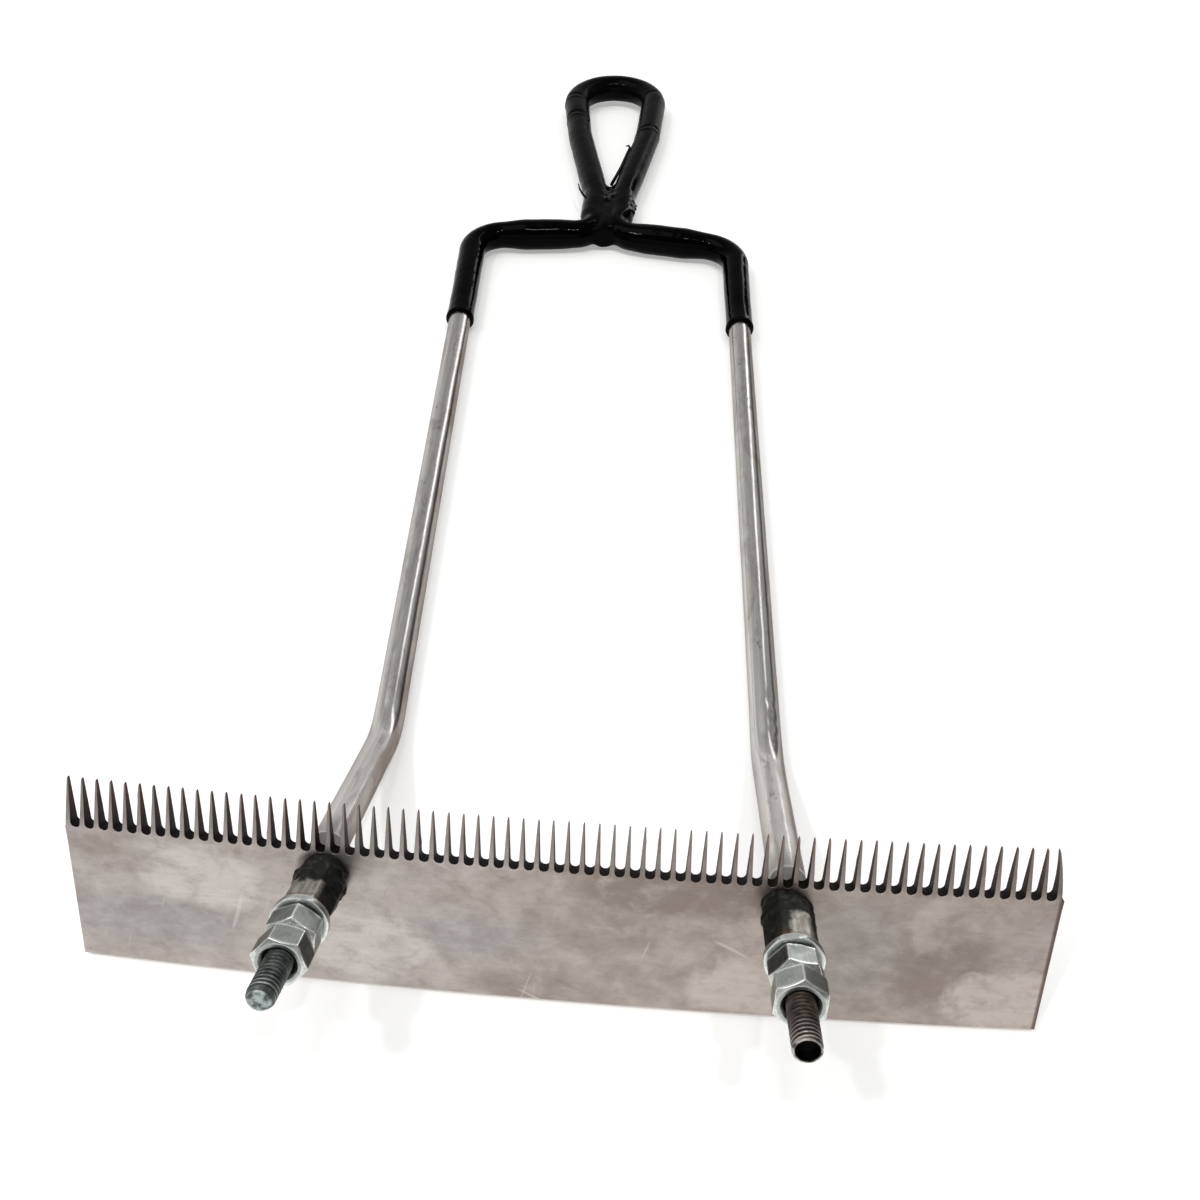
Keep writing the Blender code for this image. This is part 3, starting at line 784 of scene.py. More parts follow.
def nut_angles():
    """Angles round a nut, closer together at its corners."""
    per_side = np.array([0.0, 0.6, 1.5, 3.0, 6.0, 10.0, 15.0, 20.0, 25.0, 30.0, 35.0, 40.0, 45.0, 50.0, 54.0,
                         57.0, 58.5, 59.4])
    return np.radians(np.concatenate([60.0 * side + per_side for side in range(6)]))


def corner_wear(angle, width):
    """Wear along a nut's corners, from 0 to 1."""
    return bump(0.0, width, (np.degrees(angle) + 30.0) % 60.0 - 30.0)


def hex_radius(angle, rounding=0.05 * MM):
    """The distance from a nut's axis to its side, with the corners a little rounded."""
    off_flat = (np.degrees(angle) % 60.0) - 30.0
    radius = NUT_FLAT_HALF / np.cos(np.radians(off_flat))
    corner = NUT_FLAT_HALF / math.cos(math.radians(30.0)) - 2.0 * rounding
    return np.where(radius > corner, corner + (radius - corner) * 0.4, radius)


def nut_profile(angle, back, front):
    """Rows of radius, n and edge brightness from the bore's back, out round the nut, to the bore's front:
    wear, widened on the chamfers as painted highlight.
    """
    cone, sink = CHAMFER_RADIUS, SINK_RADIUS
    outer = hex_radius(angle)
    drop = (outer - cone) * CHAMFER_SLOPE
    edge = 0.07 * MM
    # the third value lightens edges and chamfers: worn zinc, with painted highlight on the chamfer band
    rows = [
        (BORE_RADIUS, back + SINK_DEPTH, 0.0), (sink, back, 0.3), (sink + 0.1 * MM, back, 0.0),
        (cone - edge, back, 0.2), (cone, back + 0.2 * edge, 0.6),
        (outer - edge, back + drop - 0.5 * edge, 0.5), (outer, back + drop + edge, 1.0),
    ]
    low, high = back + drop + edge, front - drop - edge
    rows += [(outer, low + (high - low) * share, 0.0) for share in (0.12, 0.5, 0.88)]
    rows += [
        (outer, front - drop - edge, 1.0), (outer - edge, front - drop + 0.5 * edge, 0.8),
        (0.5 * (outer + cone), front - 0.5 * drop, 0.45), (cone, front - 0.2 * edge, 0.8),
        (cone - edge, front, 0.3), (sink + 0.1 * MM, front, 0.0), (sink, front, 0.5),
        (BORE_RADIUS, front - SINK_DEPTH, 0.0),
    ]
    corner = 0.7 * corner_wear(angle, 1.6)
    wear = [np.maximum(row[2], corner * (np.max(row[0]) > cone + 1e-6)) for row in rows]
    radius, n = (np.array([row[part] + 0.0 * angle for row in rows]) for part in (0, 1))
    return radius, n, np.array(wear)


def local_points(radius, angle, n):
    """Points in a fastener's own frame, for its pattern."""
    return spread(radius * np.cos(angle), radius * np.sin(angle), n)


def make_ring(name, side, radius, angle, n, turn, material, body, attributes, sharp):
    """A piece round a stud's axis, from rows of radius and n at each angle, turned as a whole."""
    attributes["local"] = local_points(radius, angle, n)
    points = stud_points(side, radius, angle + turn, n)
    faces = grid_faces(*radius.shape, closed_rows=True)
    make_piece(name, points, faces, material, body, attributes, sharp)


def make_nut(name, side, back, material):
    """A loose hex nut with countersunk ends, chamfered corners, worn edges with painted highlight, and
    painted dark reflections on some flats.
    """
    angle = nut_angles()
    radius, n, wear = nut_profile(angle, back, back + NUT_HEIGHT)
    seed = float(sum(map(ord, name)) % 17)
    nicks = rough(local_points(radius, angle, n), 700.0, 2, seed)
    radius = radius + 0.03 * MM * nicks * (radius > BORE_RADIUS + MM)
    # painted reflection: darken the flats that would mirror the plate and its shadows
    painted_flat_reflection = np.array(FLAT_PAINTED_REFLECTION[name])[(np.degrees(angle) // 60.0).astype(int) % 6]
    on_flat = (n > back + 0.5 * MM) & (n < back + NUT_HEIGHT - 0.5 * MM) & (radius > 4.7 * MM)
    # painted shade darkens the countersinks and bore
    attributes = {"wear": wear, "bore_shade": blend(3.98 * MM, 3.75 * MM, radius), "painted_flat_reflection": painted_flat_reflection * on_flat}
    make_ring(name, side, radius, angle, n, math.radians(NUT_TURN[name]), material, f"nuts_{side}",
              attributes, 22.0)


def make_washer(side, material):
    """A punched washer with rounded edges and a slightly uneven rim."""
    angle = np.radians(np.arange(0.0, 360.0, 3.75))
    edge = 0.3 * MM
    rows = [
        (BORE_RADIUS, 0.25 * MM, 0.0), (BORE_RADIUS + 0.2 * MM, 0.0, 0.3), (WASHER_RADIUS - edge, 0.0, 0.2),
        (WASHER_RADIUS - 0.3 * edge, 0.25 * edge, 0.5), (WASHER_RADIUS, edge, 0.5),
        (WASHER_RADIUS, 0.5 * WASHER_THICK, 0.2), (WASHER_RADIUS, WASHER_THICK - edge, 0.6),
        (WASHER_RADIUS - 0.3 * edge, WASHER_THICK - 0.25 * edge, 1.0),
        (WASHER_RADIUS - edge, WASHER_THICK, 0.8), (WASHER_RADIUS - 3.0 * edge, WASHER_THICK, 0.1),
        (BORE_RADIUS + 0.2 * MM, WASHER_THICK, 0.2), (BORE_RADIUS, WASHER_THICK - 0.25 * MM, 0.0),
    ]
    radius, height, wear = np.array(rows).T[:, :, None] + 0.0 * angle
    n = WASHER_BACK + height
    ripple = 0.06 * MM * np.sin(3.0 * angle + len(side)) + 0.04 * MM * np.sin(7.0 * angle)
    radius = radius - (0.08 * MM - ripple) * (radius > 5.0 * MM)
    # painted shade on the washer's inner ring, next to the stud
    attributes = {"wear": wear, "bore_shade": blend(4.2 * MM, 3.4 * MM, radius)}
    name = f"washer_{side}"
    make_ring(name, side, radius, angle, n, 0.0, material, name, attributes, 45.0)


def make_weld_nut(side, material):
    """A hex nut drowned in a lumpy weld bead that runs onto its flats."""
    name = f"weld_nut_{side}"
    angle = nut_angles()
    world = angle + math.radians(NUT_TURN[name])
    levels = np.concatenate([np.linspace(GAP, 13.6 * MM, 44), np.linspace(13.8 * MM, WELD_NUT_FRONT, 8)])
    heights = np.concatenate([[GAP], levels, [WELD_NUT_FRONT, WELD_NUT_FRONT - 0.5 * MM]])
    levels = levels[:, None]
    place = local_points(WELD_RADIUS, world, levels)
    lumps = rough(place, 230.0, 3, 3.0 + len(side))
    fine = rough(place, 900.0, 3, 9.0)
    thinner = 0.6 * MM * blend(5.0 * MM, 12.5 * MM, levels)
    bead = WELD_RADIUS + 0.3 * MM - thinner + 0.95 * MM * lumps + 0.14 * MM * fine
    chamfer = CHAMFER_RADIUS + (WELD_NUT_FRONT - levels) / CHAMFER_SLOPE
    nut = np.minimum(hex_radius(angle, 0.12 * MM), chamfer)
    nut = MELTED_RADIUS + (nut - MELTED_RADIUS) * blend(0.0, 3.5 * MM, levels)
    soft = 0.12 * MM
    outer = np.logaddexp(bead / soft, nut / soft) * soft
    outer = np.minimum(outer, BEAD_RADIUS)
    outer += 0.02 * MM * fine
    middle, half_width, start, strength = BARE_PATCH[side]
    off = np.degrees(np.abs(turn_between(world, math.radians(middle))))
    bare = blend(half_width + 4.0, half_width - 4.0, off + 8.0 * lumps)
    bare = bare * blend(start * MM, (start + 1.0) * MM, levels + 1.2 * MM * lumps)
    bare = bare * blend(0.45 * MM, 0.1 * MM, bead - nut) * strength
    bare = np.concatenate([bare[:1], bare, bare[-1:], bare[-1:]])
    bore = np.full(len(angle), BORE_RADIUS)
    radius = np.array([bore, *outer, bore + 0.5 * MM, bore])
    n = heights[:, None] + 0.0 * angle
    near_front = bump(WELD_NUT_FRONT - 0.6 * MM, 0.35 * MM, n)
    attributes = {
        "wear": np.maximum(corner_wear(angle, 2.0), near_front) * bare,
        "welded": 1.0 - bare,
        "rust": blend(WELD_NUT_FRONT - 2.0 * MM, WELD_NUT_FRONT - 0.8 * MM, n),
    }
    make_ring(name, side, radius, world, n, 0.0, material, "fork_frame", attributes, 30.0)


def make_stud(side, material):
    """A stud with a real M6 helix along its free end; the right one ends in a cup."""
    cupped = side == "right"
    tip, back = STUD_TIP[side], -PLATE_THICK
    angle = math.tau * np.arange(STUD_SIDES) / STUD_SIDES
    plain = np.array([back, back + 0.5 * MM, back + 0.6 * MM, 0.0, THREAD_BACK])
    plain_radius = np.full(len(plain), STUD_RADIUS)
    plain_radius[0] -= 0.5 * MM
    threaded = np.arange(THREAD_BACK + 0.05 * MM, tip - 0.02 * MM, THREAD_PITCH / 14.0)
    phase = (threaded[:, None] / THREAD_PITCH - angle / math.tau) % 1.0
    cut = 1.0 - blend(0.12, 0.86, np.abs(phase - 0.5) * 2.0)
    fade = blend(THREAD_BACK, THREAD_BACK + 1.5 * MM, threaded)[:, None]
    radius = STUD_RADIUS - THREAD_DEPTH * cut * fade
    chips = rough(local_points(radius, angle, threaded[:, None]), 800.0, 2, 5.0)
    radius = radius + 0.035 * MM * chips * (1.0 - cut)
    if cupped:
        limit = STUD_RADIUS - 0.32 * MM + 0.9 * (tip - threaded)
        end_radius = CUP_RADIUS * np.array([1.0, 1.0, 0.94, 0.8, 0.3])
        end_radius[0] += 0.2 * MM
        end = tip - np.array([0.0, 0.12 * MM, 0.6 * CUP_DEPTH, CUP_DEPTH, CUP_DEPTH + 0.3 * MM])
    else:
        limit = STUD_RADIUS * np.sqrt(1.0 - (np.maximum(threaded - (tip - 1.9 * MM), 0.0) / (2.4 * MM)) ** 2)
        end_radius = np.array([1.6, 1.45, 1.0, 0.5]) * MM
        end = tip - np.array([0.04, 0.0, 0.0, 0.03]) * MM
    radius = np.concatenate([
        plain_radius[:, None] + 0.0 * angle, np.minimum(radius, limit[:, None]),
        end_radius[:, None] + 0.0 * angle])
    n = np.concatenate([plain, threaded, end])[:, None] + 0.0 * angle
    centres = stud_points(side, 0.0, 0.0, np.array([back, end[-1]]))
    points = np.concatenate([stud_points(side, radius, angle, n).reshape(-1, 3), centres])
    faces = grid_faces(*radius.shape)
    faces += [tuple(reversed(face)) for face in cap_faces(0, STUD_SIDES, n.size)]
    faces += cap_faces(n.size - STUD_SIDES, STUD_SIDES, n.size + 1)
    crest_and_glint = np.clip((radius - (STUD_RADIUS - 0.12 * MM)) / (0.12 * MM), 0.0, 1.0)
    # painted highlight: a bright spot on the lowest side of the left stud, just short of its tip
    if not cupped:
        glint_side = bump(0.0, 0.5, turn_between(angle, -math.pi / 2.0))
        crest_and_glint = np.maximum(crest_and_glint, bump(tip - 0.9 * MM, 0.5 * MM, n) * glint_side)
    in_cup = np.arange(len(n))[:, None] > len(n) - len(end)
    cup = cupped * in_cup * (n < tip - 0.1 * MM)
    end_zone = blend(tip - 0.75 * MM, tip - 0.3 * MM, n) * (1.0 - cup)
    attributes = {
        "crest_and_glint": np.append(crest_and_glint, [0.0, 0.0]),
        "near_tip": np.append(blend(tip - 6.5 * MM, tip - 0.5 * MM, n), [0.0, 1.0]),
        "end": np.append(end_zone, [0.0, 1.0 - cupped]),
        "cup": np.append(cup, [0.0, cupped]),
    }
    make_piece(f"stud_{side}", points, faces, material, "fork_frame", attributes,
               sharp=40.0)


# Materials

def rgba(value):
    """A colour with full alpha; a number stands for a grey."""
    return (*(value if isinstance(value, tuple) else (value, value, value)), 1.0)


class Nodes:
    """A short way to build a tree of shader nodes."""

    def __init__(self, tree):
        self.tree = tree
        self.place = None

    def put(self, socket, value):
        """Link a socket, or set its value."""
        if isinstance(value, bpy.types.NodeSocket):
            self.tree.links.new(value, socket)
        else:
            socket.default_value = rgba(value) if socket.type == "RGBA" else value

    def node(self, kind, **inputs):
        """A new node with some of its sockets linked or set."""
        node = self.tree.nodes.new("ShaderNode" + kind)
        for name, value in inputs.items():
            self.put(node.inputs[name], value)
        return node

    def attribute(self, name, kind="Fac"):
        """A point attribute of the mesh."""
        node = self.node("Attribute")
        node.attribute_name = name
        return node.outputs[kind]

    def scaled(self, vector, scale, shift=(0.0, 0.0, 0.0), turn=0.0):
        """A vector stretched by a scale, turned in its own plane, and shifted."""
        turned = (0.0, 0.0, math.radians(turn))
        node = self.node("Mapping", Vector=vector, Scale=scale, Location=shift, Rotation=turned)
        return node.outputs["Vector"]

    def noise(self, scale, detail=4.0, roughness=0.55, vector=None, distortion=0.0):
        """Noise between 0 and 1; scale is per metre unless the vector is already scaled."""
        return self.node("TexNoise", Vector=vector or self.place, Scale=scale, Detail=detail,
                         Roughness=roughness, Distortion=distortion).outputs["Fac"]

    def ramp(self, factor, *stops):
        """A colour ramp; each stop is (position, number or colour)."""
        node = self.node("ValToRGB", Fac=factor)
        elements = node.color_ramp.elements
        while len(elements) < len(stops):
            elements.new(0.5)
        for element, (position, value) in zip(elements, stops):
            element.position = position
            element.color = rgba(value)
        return node.outputs["Color"]

    def math(self, operation, first, second, clamp=False):
        """A math node."""
        node = self.node("Math")
        node.operation = operation
        node.use_clamp = clamp
        self.put(node.inputs[0], first)
        self.put(node.inputs[1], second)
        return node.outputs[0]

    def times(self, first, second, clamp=False):
        """Two values multiplied."""
        return self.math("MULTIPLY", first, second, clamp)

    def plus(self, first, second):
        """Two values added."""
        return self.math("ADD", first, second)

    def mix(self, factor, first, second, blend_type="MIX"):
        """Two colours mixed."""
        node = self.node("Mix")
        node.data_type = "RGBA"
        node.blend_type = blend_type
        for index, value in ((0, factor), (6, first), (7, second)):
            self.put(node.inputs[index], value)
        return node.outputs[2]

    def over(self, base, colour, factor, *stops):
        """A base with a colour laid over it as strongly as a ramp of a factor says."""
        return self.mix(self.ramp(factor, *stops), base, colour)

    def spot(self, vector, stain, wobble, hard):
        """Strength inside an oval stain given as (u, v, half u, half v, strength), with a ragged border."""
        u, v, half_u, half_v, strength = stain
        scale = (1.0 / (half_u * MM), 1.0 / (half_v * MM), 0.0)
        node = self.node("VectorMath")
        node.operation = "LENGTH"
        self.put(node.inputs[0], self.scaled(vector, scale, (-u / half_u, -v / half_v, 0.0)))
        ragged = self.plus(node.outputs["Value"], self.times(wobble, 1.3))
        return self.ramp(self.times(ragged, 0.5), (0.80 - hard, strength), (0.80 + hard, 0.0))


class Look(Nodes):
    """One material's nodes."""

    def __init__(self, name, colour, metallic, roughness, specular=None):
        self.material = bpy.data.materials.new(name)
        self.material.use_nodes = True
        self.material.diffuse_color = rgba(colour)
        super().__init__(self.material.node_tree)
        self.shader = self.tree.nodes["Principled BSDF"]
        self.set("Base Color", colour)
        self.set("Metallic", metallic)
        self.set("Roughness", roughness)
        if specular is not None:
            self.set("Specular IOR Level", specular)
        self.place = self.node("TexCoord").outputs["Object"]

    def set(self, name, value):
        """Link or set one of the shader's own sockets."""
        self.put(self.shader.inputs[name], value)

    def finish(self, colour, roughness, height, strength, distance, metallic=None):
        """Link the shader's sockets and return the material."""
        self.set("Base Color", colour)
        self.set("Roughness", roughness)
        if metallic is not None:
            self.set("Metallic", metallic)
        bumps = self.node("Bump", Strength=strength, Distance=distance, Height=height)
        self.set("Normal", bumps.outputs["Normal"])
        return self.material


def plate_material():
    """Satin sheet steel with water stains, fine scratches, soot at the welds, and cut sides darkened by
    oxide and by painted shade in the gullets.
    """
    look = Look("plate_steel_look", (0.60, 0.55, 0.53), 1.0, 0.42, 0.12)
    plate = look.attribute("plate", "Vector")
    along, up, _ = look.node("SeparateXYZ", Vector=plate).outputs
    cloud = look.noise(60.0, 6.0, 0.62, plate, 0.5)
    mottle = look.noise(190.0, 5.0, 0.65, look.scaled(plate, (0.7, 1.0, 1.0)), 0.3)
    wobble = look.noise(75.0, 5.0, 0.7, look.scaled(plate, (1.0, 1.0, 1.0), (0.4, 0.2, 0.0)), 0.5)
    grain = look.noise(900.0, 4.0, 0.6, look.scaled(plate, (0.12, 1.0, 1.0)))
    speckle = look.noise(1100.0, 2.0, 0.5, plate)
    face = look.ramp(
        cloud, (0.30, (0.41, 0.365, 0.34)), (0.5, (0.50, 0.45, 0.425)), (0.70, (0.58, 0.53, 0.50)))
    for stains, colour, hard in STAIN_LOOKS:
        for stain in stains:
            face = look.mix(look.spot(plate, stain, wobble, hard), face, colour)
    # dark and light mottling, coarse and then fine
    face = look.over(face, (0.28, 0.24, 0.22), mottle, (0.34, 0.42), (0.50, 0.0))
    face = look.over(face, (0.72, 0.68, 0.65), mottle, (0.52, 0.0), (0.70, 0.36))
    dabs = look.noise(420.0, 4.0, 0.6, look.scaled(plate, (0.6, 1.0, 1.0)), 0.2)
    face = look.over(face, (0.27, 0.22, 0.19), dabs, (0.30, 0.20), (0.46, 0.0))
    face = look.over(face, (0.74, 0.70, 0.67), dabs, (0.55, 0.0), (0.70, 0.12))
    # browner towards the right, with a drawn grain and dark specks
    rightward = look.ramp(look.plus(look.times(along, 8.0), 0.5), (0.25, 0.0), (0.75, 0.9))
    face = look.mix(rightward, face, (0.85, 0.81, 0.775), "MULTIPLY")
    face = look.mix(look.times(look.ramp(grain, (0.35, 1.0), (0.65, 0.0)), 0.16), face, (0.30, 0.26, 0.25))
    face = look.over(face, (0.16, 0.11, 0.09), speckle, (0.70, 0.0), (0.77, 0.5))
    for turn, shift in ((28.0, 0.03), (-72.0, 0.11)):
        turned = look.scaled(plate, (1.0, 1.0, 1.0), (shift, shift, 0.0), turn)
        scratches = look.noise(420.0, 1.0, 0.5, look.scaled(turned, (0.08, 1.0, 1.0)))
        face = look.over(face, (0.80, 0.77, 0.74), scratches, (0.72, 0.0), (0.75, 0.30))
    for side in SIDES:
        soot = (STUD_U[side] / MM, STUD_V / MM, 6.0, 6.0, 0.6)
        face = look.mix(look.spot(plate, soot, cloud, 0.05), face, (0.10, 0.08, 0.07))
    # the dark right end, and the darker teeth
    face = look.over(face, (0.085, 0.05, 0.04), look.times(along, 8.0), (0.8455, 0.0), (0.8480, 0.85))
    face = look.over(face, (0.22, 0.165, 0.14), look.times(up, 80.0), (0.0, 0.0), (0.5, 0.38))
    height = look.times(look.plus(up, 4.0 * MM), 60.0)
    # the cut sides: brown oxide towards the tips, and painted shade that makes them black down in the
    # gullets
    oxide_and_gullet_shade = look.ramp(height, (0.10, (0.50, 0.43, 0.39)), (0.20, (0.003, 0.002, 0.002)),
                      (0.42, (0.014, 0.006, 0.005)), (0.88, (0.100, 0.050, 0.038)))
    cut = look.attribute("cut")
    colour = look.mix(cut, face, oxide_and_gullet_shade)
    roughness = look.mix(cut, look.ramp(cloud, (0.2, 0.36), (0.8, 0.48)), 0.6)
    bumps = look.plus(look.times(grain, 0.6), look.times(mottle, 0.8))
    return look.finish(colour, roughness, bumps, 0.12, 0.15 * MM, look.mix(cut, 1.0, 0.1))


def tube_material():
    """Satin drawn steel with long streaks, brown stains, burnt ends, and a painted dark reflection down the
    side that faces right.
    """
    look = Look("tube_steel_look", (0.58, 0.55, 0.53), 1.0, 0.26)
    flow = look.attribute("flow", "Vector")
    streak = look.noise(900.0, 4.0, 0.6, look.scaled(flow, (0.025, 1.0, 1.0)))
    patch = look.noise(60.0, 5.0, 0.65, look.scaled(flow, (0.8, 3.0, 3.0)), 0.8)
    spots = look.noise(420.0, 4.0, 0.6, look.scaled(flow, (0.5, 1.0, 1.0)))
    base = look.ramp(streak, (0.3, (0.50, 0.48, 0.465)), (0.7, (0.70, 0.675, 0.655)))
    base = look.over(base, (0.30, 0.26, 0.24), patch, (0.50, 0.0), (0.66, 0.5))
    base = look.over(base, (0.19, 0.14, 0.12), spots, (0.63, 0.0), (0.72, 0.5))
    # painted dark reflection: the side of the tube that faces right is darkened and browned in patches
    right_side = look.node("SeparateXYZ", Vector=look.node("NewGeometry").outputs["Normal"]).outputs["X"]
    painted_dark_reflection = look.ramp(right_side, (0.50, 0.0), (0.72, 0.8))
    painted_dark_reflection = look.times(painted_dark_reflection, look.ramp(patch, (0.35, 0.6), (0.6, 1.0)))
    base = look.mix(painted_dark_reflection, base, (0.20, 0.165, 0.15))
    burnt = look.attribute("burnt")
    colour = look.mix(look.times(burnt, 0.45), base, (0.09, 0.08, 0.075))
    roughness = look.mix(look.times(burnt, 0.5), look.ramp(streak, (0.25, 0.28), (0.75, 0.17)), 0.5)
    look.set("Specular Tint", (0.50, 0.48, 0.46))
    capped = look.attribute("capped")
    colour = look.mix(capped, colour, (0.55, 0.52, 0.49))
    height = look.plus(streak, look.times(spots, 0.7))
    return look.finish(colour, roughness, height, 0.12, 0.1 * MM, look.mix(capped, 1.0, 0.0))


def coating_material():
    """Glossy black dip, duller and scuffed on the loop."""
    look = Look("black_coating_look", (0.002, 0.002, 0.002), 0.0, 0.13, 0.035)
    scuff = look.noise(160.0, 5.0, 0.65)
    fine = look.noise(1500.0, 3.0, 0.6)
    worn = look.times(look.attribute("dull"), look.ramp(scuff, (0.3, 0.55), (0.7, 1.0)))
    colour = look.mix(worn, (0.0004, 0.0004, 0.0005), (0.0026, 0.0026, 0.0023))
    roughness = look.mix(worn, look.ramp(scuff, (0.2, 0.06), (0.8, 0.10)), 0.36)
    height = look.plus(look.times(scuff, 0.7), look.times(fine, 0.12))
    return look.finish(colour, roughness, height, 0.10, 0.3 * MM)


def zinc_material():
    """Dull greenish zinc plate, bright on its worn edges with painted highlight on the chamfers, painted
    dark reflections on some flats, and painted shade darkening its bore.
    """
    look = Look("zinc_plate_look", (0.46, 0.49, 0.47), 1.0, 0.36)
    local = look.attribute("local", "Vector")
    cloud = look.noise(330.0, 5.0, 0.6, local, 0.5)
    drag = look.noise(1600.0, 3.0, 0.55, look.scaled(local, (1.0, 1.0, 0.16)))
    base = look.ramp(
        cloud, (0.3, (0.27, 0.29, 0.27)), (0.55, (0.40, 0.425, 0.405)), (0.8, (0.50, 0.525, 0.50)))
    dragged = look.times(look.ramp(drag, (0.4, 1.0), (0.6, 0.0)), 0.3)
    base = look.mix(dragged, base, (0.22, 0.22, 0.19))
    # painted reflection: some flats are darkened as if mirroring the plate and its shadows
    painted_flat_reflection = look.times(look.attribute("painted_flat_reflection"), look.ramp(drag, (0.3, 1.0), (0.7, 0.75)))
    base = look.mix(look.times(painted_flat_reflection, 0.92), base, (0.028, 0.029, 0.027))
    # edges lightened: worn zinc, and painted highlight on the nuts' chamfers
    edge = look.times(look.attribute("wear"), look.ramp(drag, (0.25, 0.55), (0.6, 1.0)), True)
    colour = look.mix(edge, base, (0.88, 0.90, 0.88))
    # painted shade in the bore and countersinks
    colour = look.mix(look.times(look.attribute("bore_shade"), 0.97), colour, PAINTED_HOLE_SHADE)
    roughness = look.mix(edge, look.ramp(cloud, (0.2, 0.40), (0.8, 0.28)), 0.24)
    height = look.plus(look.times(drag, 0.5), cloud)
    return look.finish(colour, roughness, height, 0.16, 0.1 * MM)


def burnt_material():
    """Blackened weld bead and nut, brown near its front, with a few ground facets."""
    look = Look("burnt_steel_look", (0.08, 0.08, 0.075), 0.85, 0.5)
    local = look.attribute("local", "Vector")
    cloud = look.noise(300.0, 5.0, 0.65, local, 0.8)
    drag = look.noise(1300.0, 3.0, 0.6, look.scaled(local, (1.0, 1.0, 0.2)))
    scale_black = look.ramp(
        cloud, (0.35, (0.008, 0.009, 0.008)), (0.60, (0.030, 0.032, 0.029)), (0.80, (0.13, 0.135, 0.12)))
    bare = look.ramp(cloud, (0.3, (0.33, 0.30, 0.26)), (0.62, (0.50, 0.475, 0.43)))
    dragged = look.times(look.ramp(drag, (0.42, 1.0), (0.56, 0.0)), 0.4)
    bare = look.mix(dragged, bare, (0.08, 0.065, 0.05))
    welded = look.attribute("welded")
    colour = look.mix(welded, bare, scale_black)
    rust = look.times(look.attribute("rust"), look.ramp(cloud, (0.4, 0.15), (0.65, 0.8)))
    colour = look.mix(rust, colour, (0.11, 0.055, 0.03))
    edge = look.times(look.attribute("wear"), 0.6)
    colour = look.mix(edge, colour, (0.55, 0.55, 0.52))
    roughness = look.mix(welded, 0.38, look.ramp(cloud, (0.3, 0.62), (0.7, 0.36)))
    height = look.plus(look.times(drag, 0.4), cloud)
    return look.finish(colour, roughness, height, 0.3, 0.2 * MM)


def stud_material(side):
    """Oxidised thread with brighter crests towards the tip, a painted highlight low on the left stud's tip,
    and painted shade in the right stud's cup.
    """
    look = Look(f"stud_steel_{side}_look", (0.12, 0.11, 0.10), 0.9, 0.42)
    cloud = look.noise(500.0, 4.0, 0.6)
    dark, light, bright = STUD_COLOURS[side]
    base = look.ramp(cloud, (0.3, dark), (0.7, light))
    # crests worn bright towards the tip, and the painted highlight on the left stud
    crest_and_glint = look.times(look.attribute("crest_and_glint"), look.attribute("near_tip"))
    worn = look.times(crest_and_glint, look.ramp(cloud, (0.35, 0.35), (0.6, 0.95)))
    colour = look.mix(worn, base, bright)
    end = look.times(look.attribute("end"), look.ramp(cloud, (0.42, 0.10), (0.56, 0.9)))
    colour = look.mix(end, colour, bright)
    # painted shade: the cup in the right stud's tip is black
    colour = look.mix(look.attribute("cup"), colour, PAINTED_HOLE_SHADE)
    return look.finish(colour, look.mix(worn, 0.5, 0.3), cloud, 0.2, 0.1 * MM)


# Stage

def make_sky():
    """The room round the table: pale to the left, with a dark far wall that is higher on the right."""
    world = bpy.data.worlds.new("studio")
    world.use_nodes = True
    sky = Nodes(world.node_tree)
    right, ahead, up = sky.node("SeparateXYZ", Vector=sky.node("TexCoord").outputs["Generated"]).outputs
    above = sky.math("SUBTRACT", up, sky.times(sky.ramp(right, (0.40, 0.0), (0.50, 1.0)), 0.30))
    glow = sky.ramp(up, (0.0, 0.95), (0.14, 0.85), (0.32, 0.54), (0.6, 0.42), (1.0, 0.36))
    dark = sky.mix(sky.ramp(right, (0.42, 0.0), (0.50, 1.0)), (0.02, 0.018, 0.017), (0.10, 0.092, 0.088))
    glow = sky.over(glow, dark, above, (0.012, 1.0), (0.03, 0.0))
    side = sky.ramp(sky.times(sky.plus(right, 1.0), 0.5), (0.2, 1.12), (0.8, 0.85))
    behind = sky.ramp(sky.times(sky.plus(ahead, 1.0), 0.5), (0.15, 0.40), (0.45, 1.0))
    glow = sky.mix(1.0, sky.mix(1.0, glow, side, "MULTIPLY"), behind, "MULTIPLY")
    sky.put(world.node_tree.nodes["Background"].inputs["Color"], glow)
    bpy.context.scene.world = world


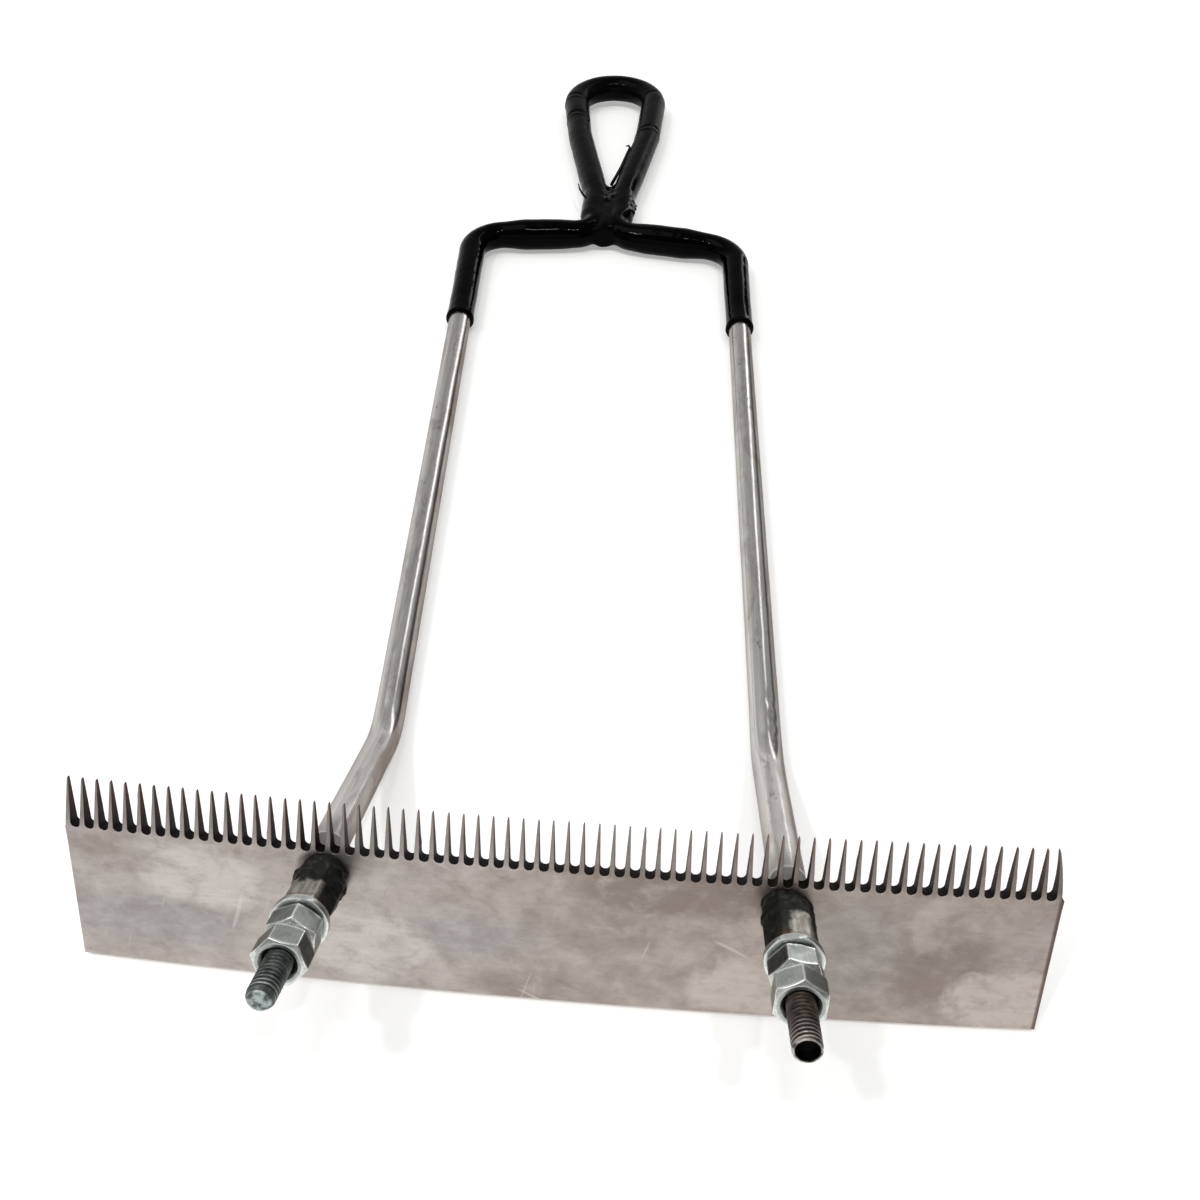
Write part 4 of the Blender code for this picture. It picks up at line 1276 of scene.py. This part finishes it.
def make_table():
    """A plain white table."""
    look = Look("table_look", (0.82, 0.82, 0.81), 0.0, 0.7, 0.1)
    look.set("Emission Color", (1.0, 1.0, 0.985))
    look.set("Emission Strength", TABLE_GLOW)
    mesh = bpy.data.meshes.new("table")
    corners = [(x * TABLE_HALF, y * TABLE_HALF, 0.0) for x, y in ((-1, -1), (1, -1), (1, 1), (-1, 1))]
    mesh.from_pydata(corners, [], [(0, 1, 2, 3)])
    mesh.materials.append(look.material)
    table = bpy.data.objects.new("table", mesh)
    table.location.z = -TABLE_DROP
    bpy.context.scene.collection.objects.link(table)


def make_lights():
    """Broad soft lights, small lamps over the handle, and a low strip that draws lines along the legs."""
    for name, place, target, size, power in SOFTBOXES:
        light = bpy.data.lights.new(name, "AREA")
        light.shape = "RECTANGLE"
        light.size, light.size_y = size
        light.energy = power
        lamp = bpy.data.objects.new(name, light)
        lamp.location = place
        lamp.rotation_euler = (Vector(target) - Vector(place)).to_track_quat("-Z", "Y").to_euler()
        bpy.context.scene.collection.objects.link(lamp)


def make_camera():
    """The camera that took the picture's view: high in front of the comb, looking down the handle."""
    data = bpy.data.cameras.new("camera")
    data.lens = LENS_MM
    data.sensor_width = SENSOR_MM
    data.clip_start = 10.0 * MM
    camera = bpy.data.objects.new("camera", data)
    camera.location = CAMERA_PLACE
    camera.rotation_euler = [math.radians(angle) for angle in CAMERA_DEGREES]
    bpy.context.scene.collection.objects.link(camera)
    bpy.context.scene.camera = camera


def build():
    """Make every piece, the table, the light and the camera."""
    bpy.context.scene.view_settings.view_transform = "Standard"
    zinc = zinc_material()
    burnt = burnt_material()
    make_comb(plate_material())
    make_tube(tube_material())
    make_coating(coating_material())
    for side in SIDES:
        make_stud(side, stud_material(side))
        make_weld_nut(side, burnt)
        make_washer(side, zinc)
        make_nut(f"clamp_nut_{side}", side, CLAMP_BACK, zinc)
        make_nut(f"lock_nut_{side}", side, LOCK_BACK, zinc)
    make_table()
    make_sky()
    make_lights()
    make_camera()


build()
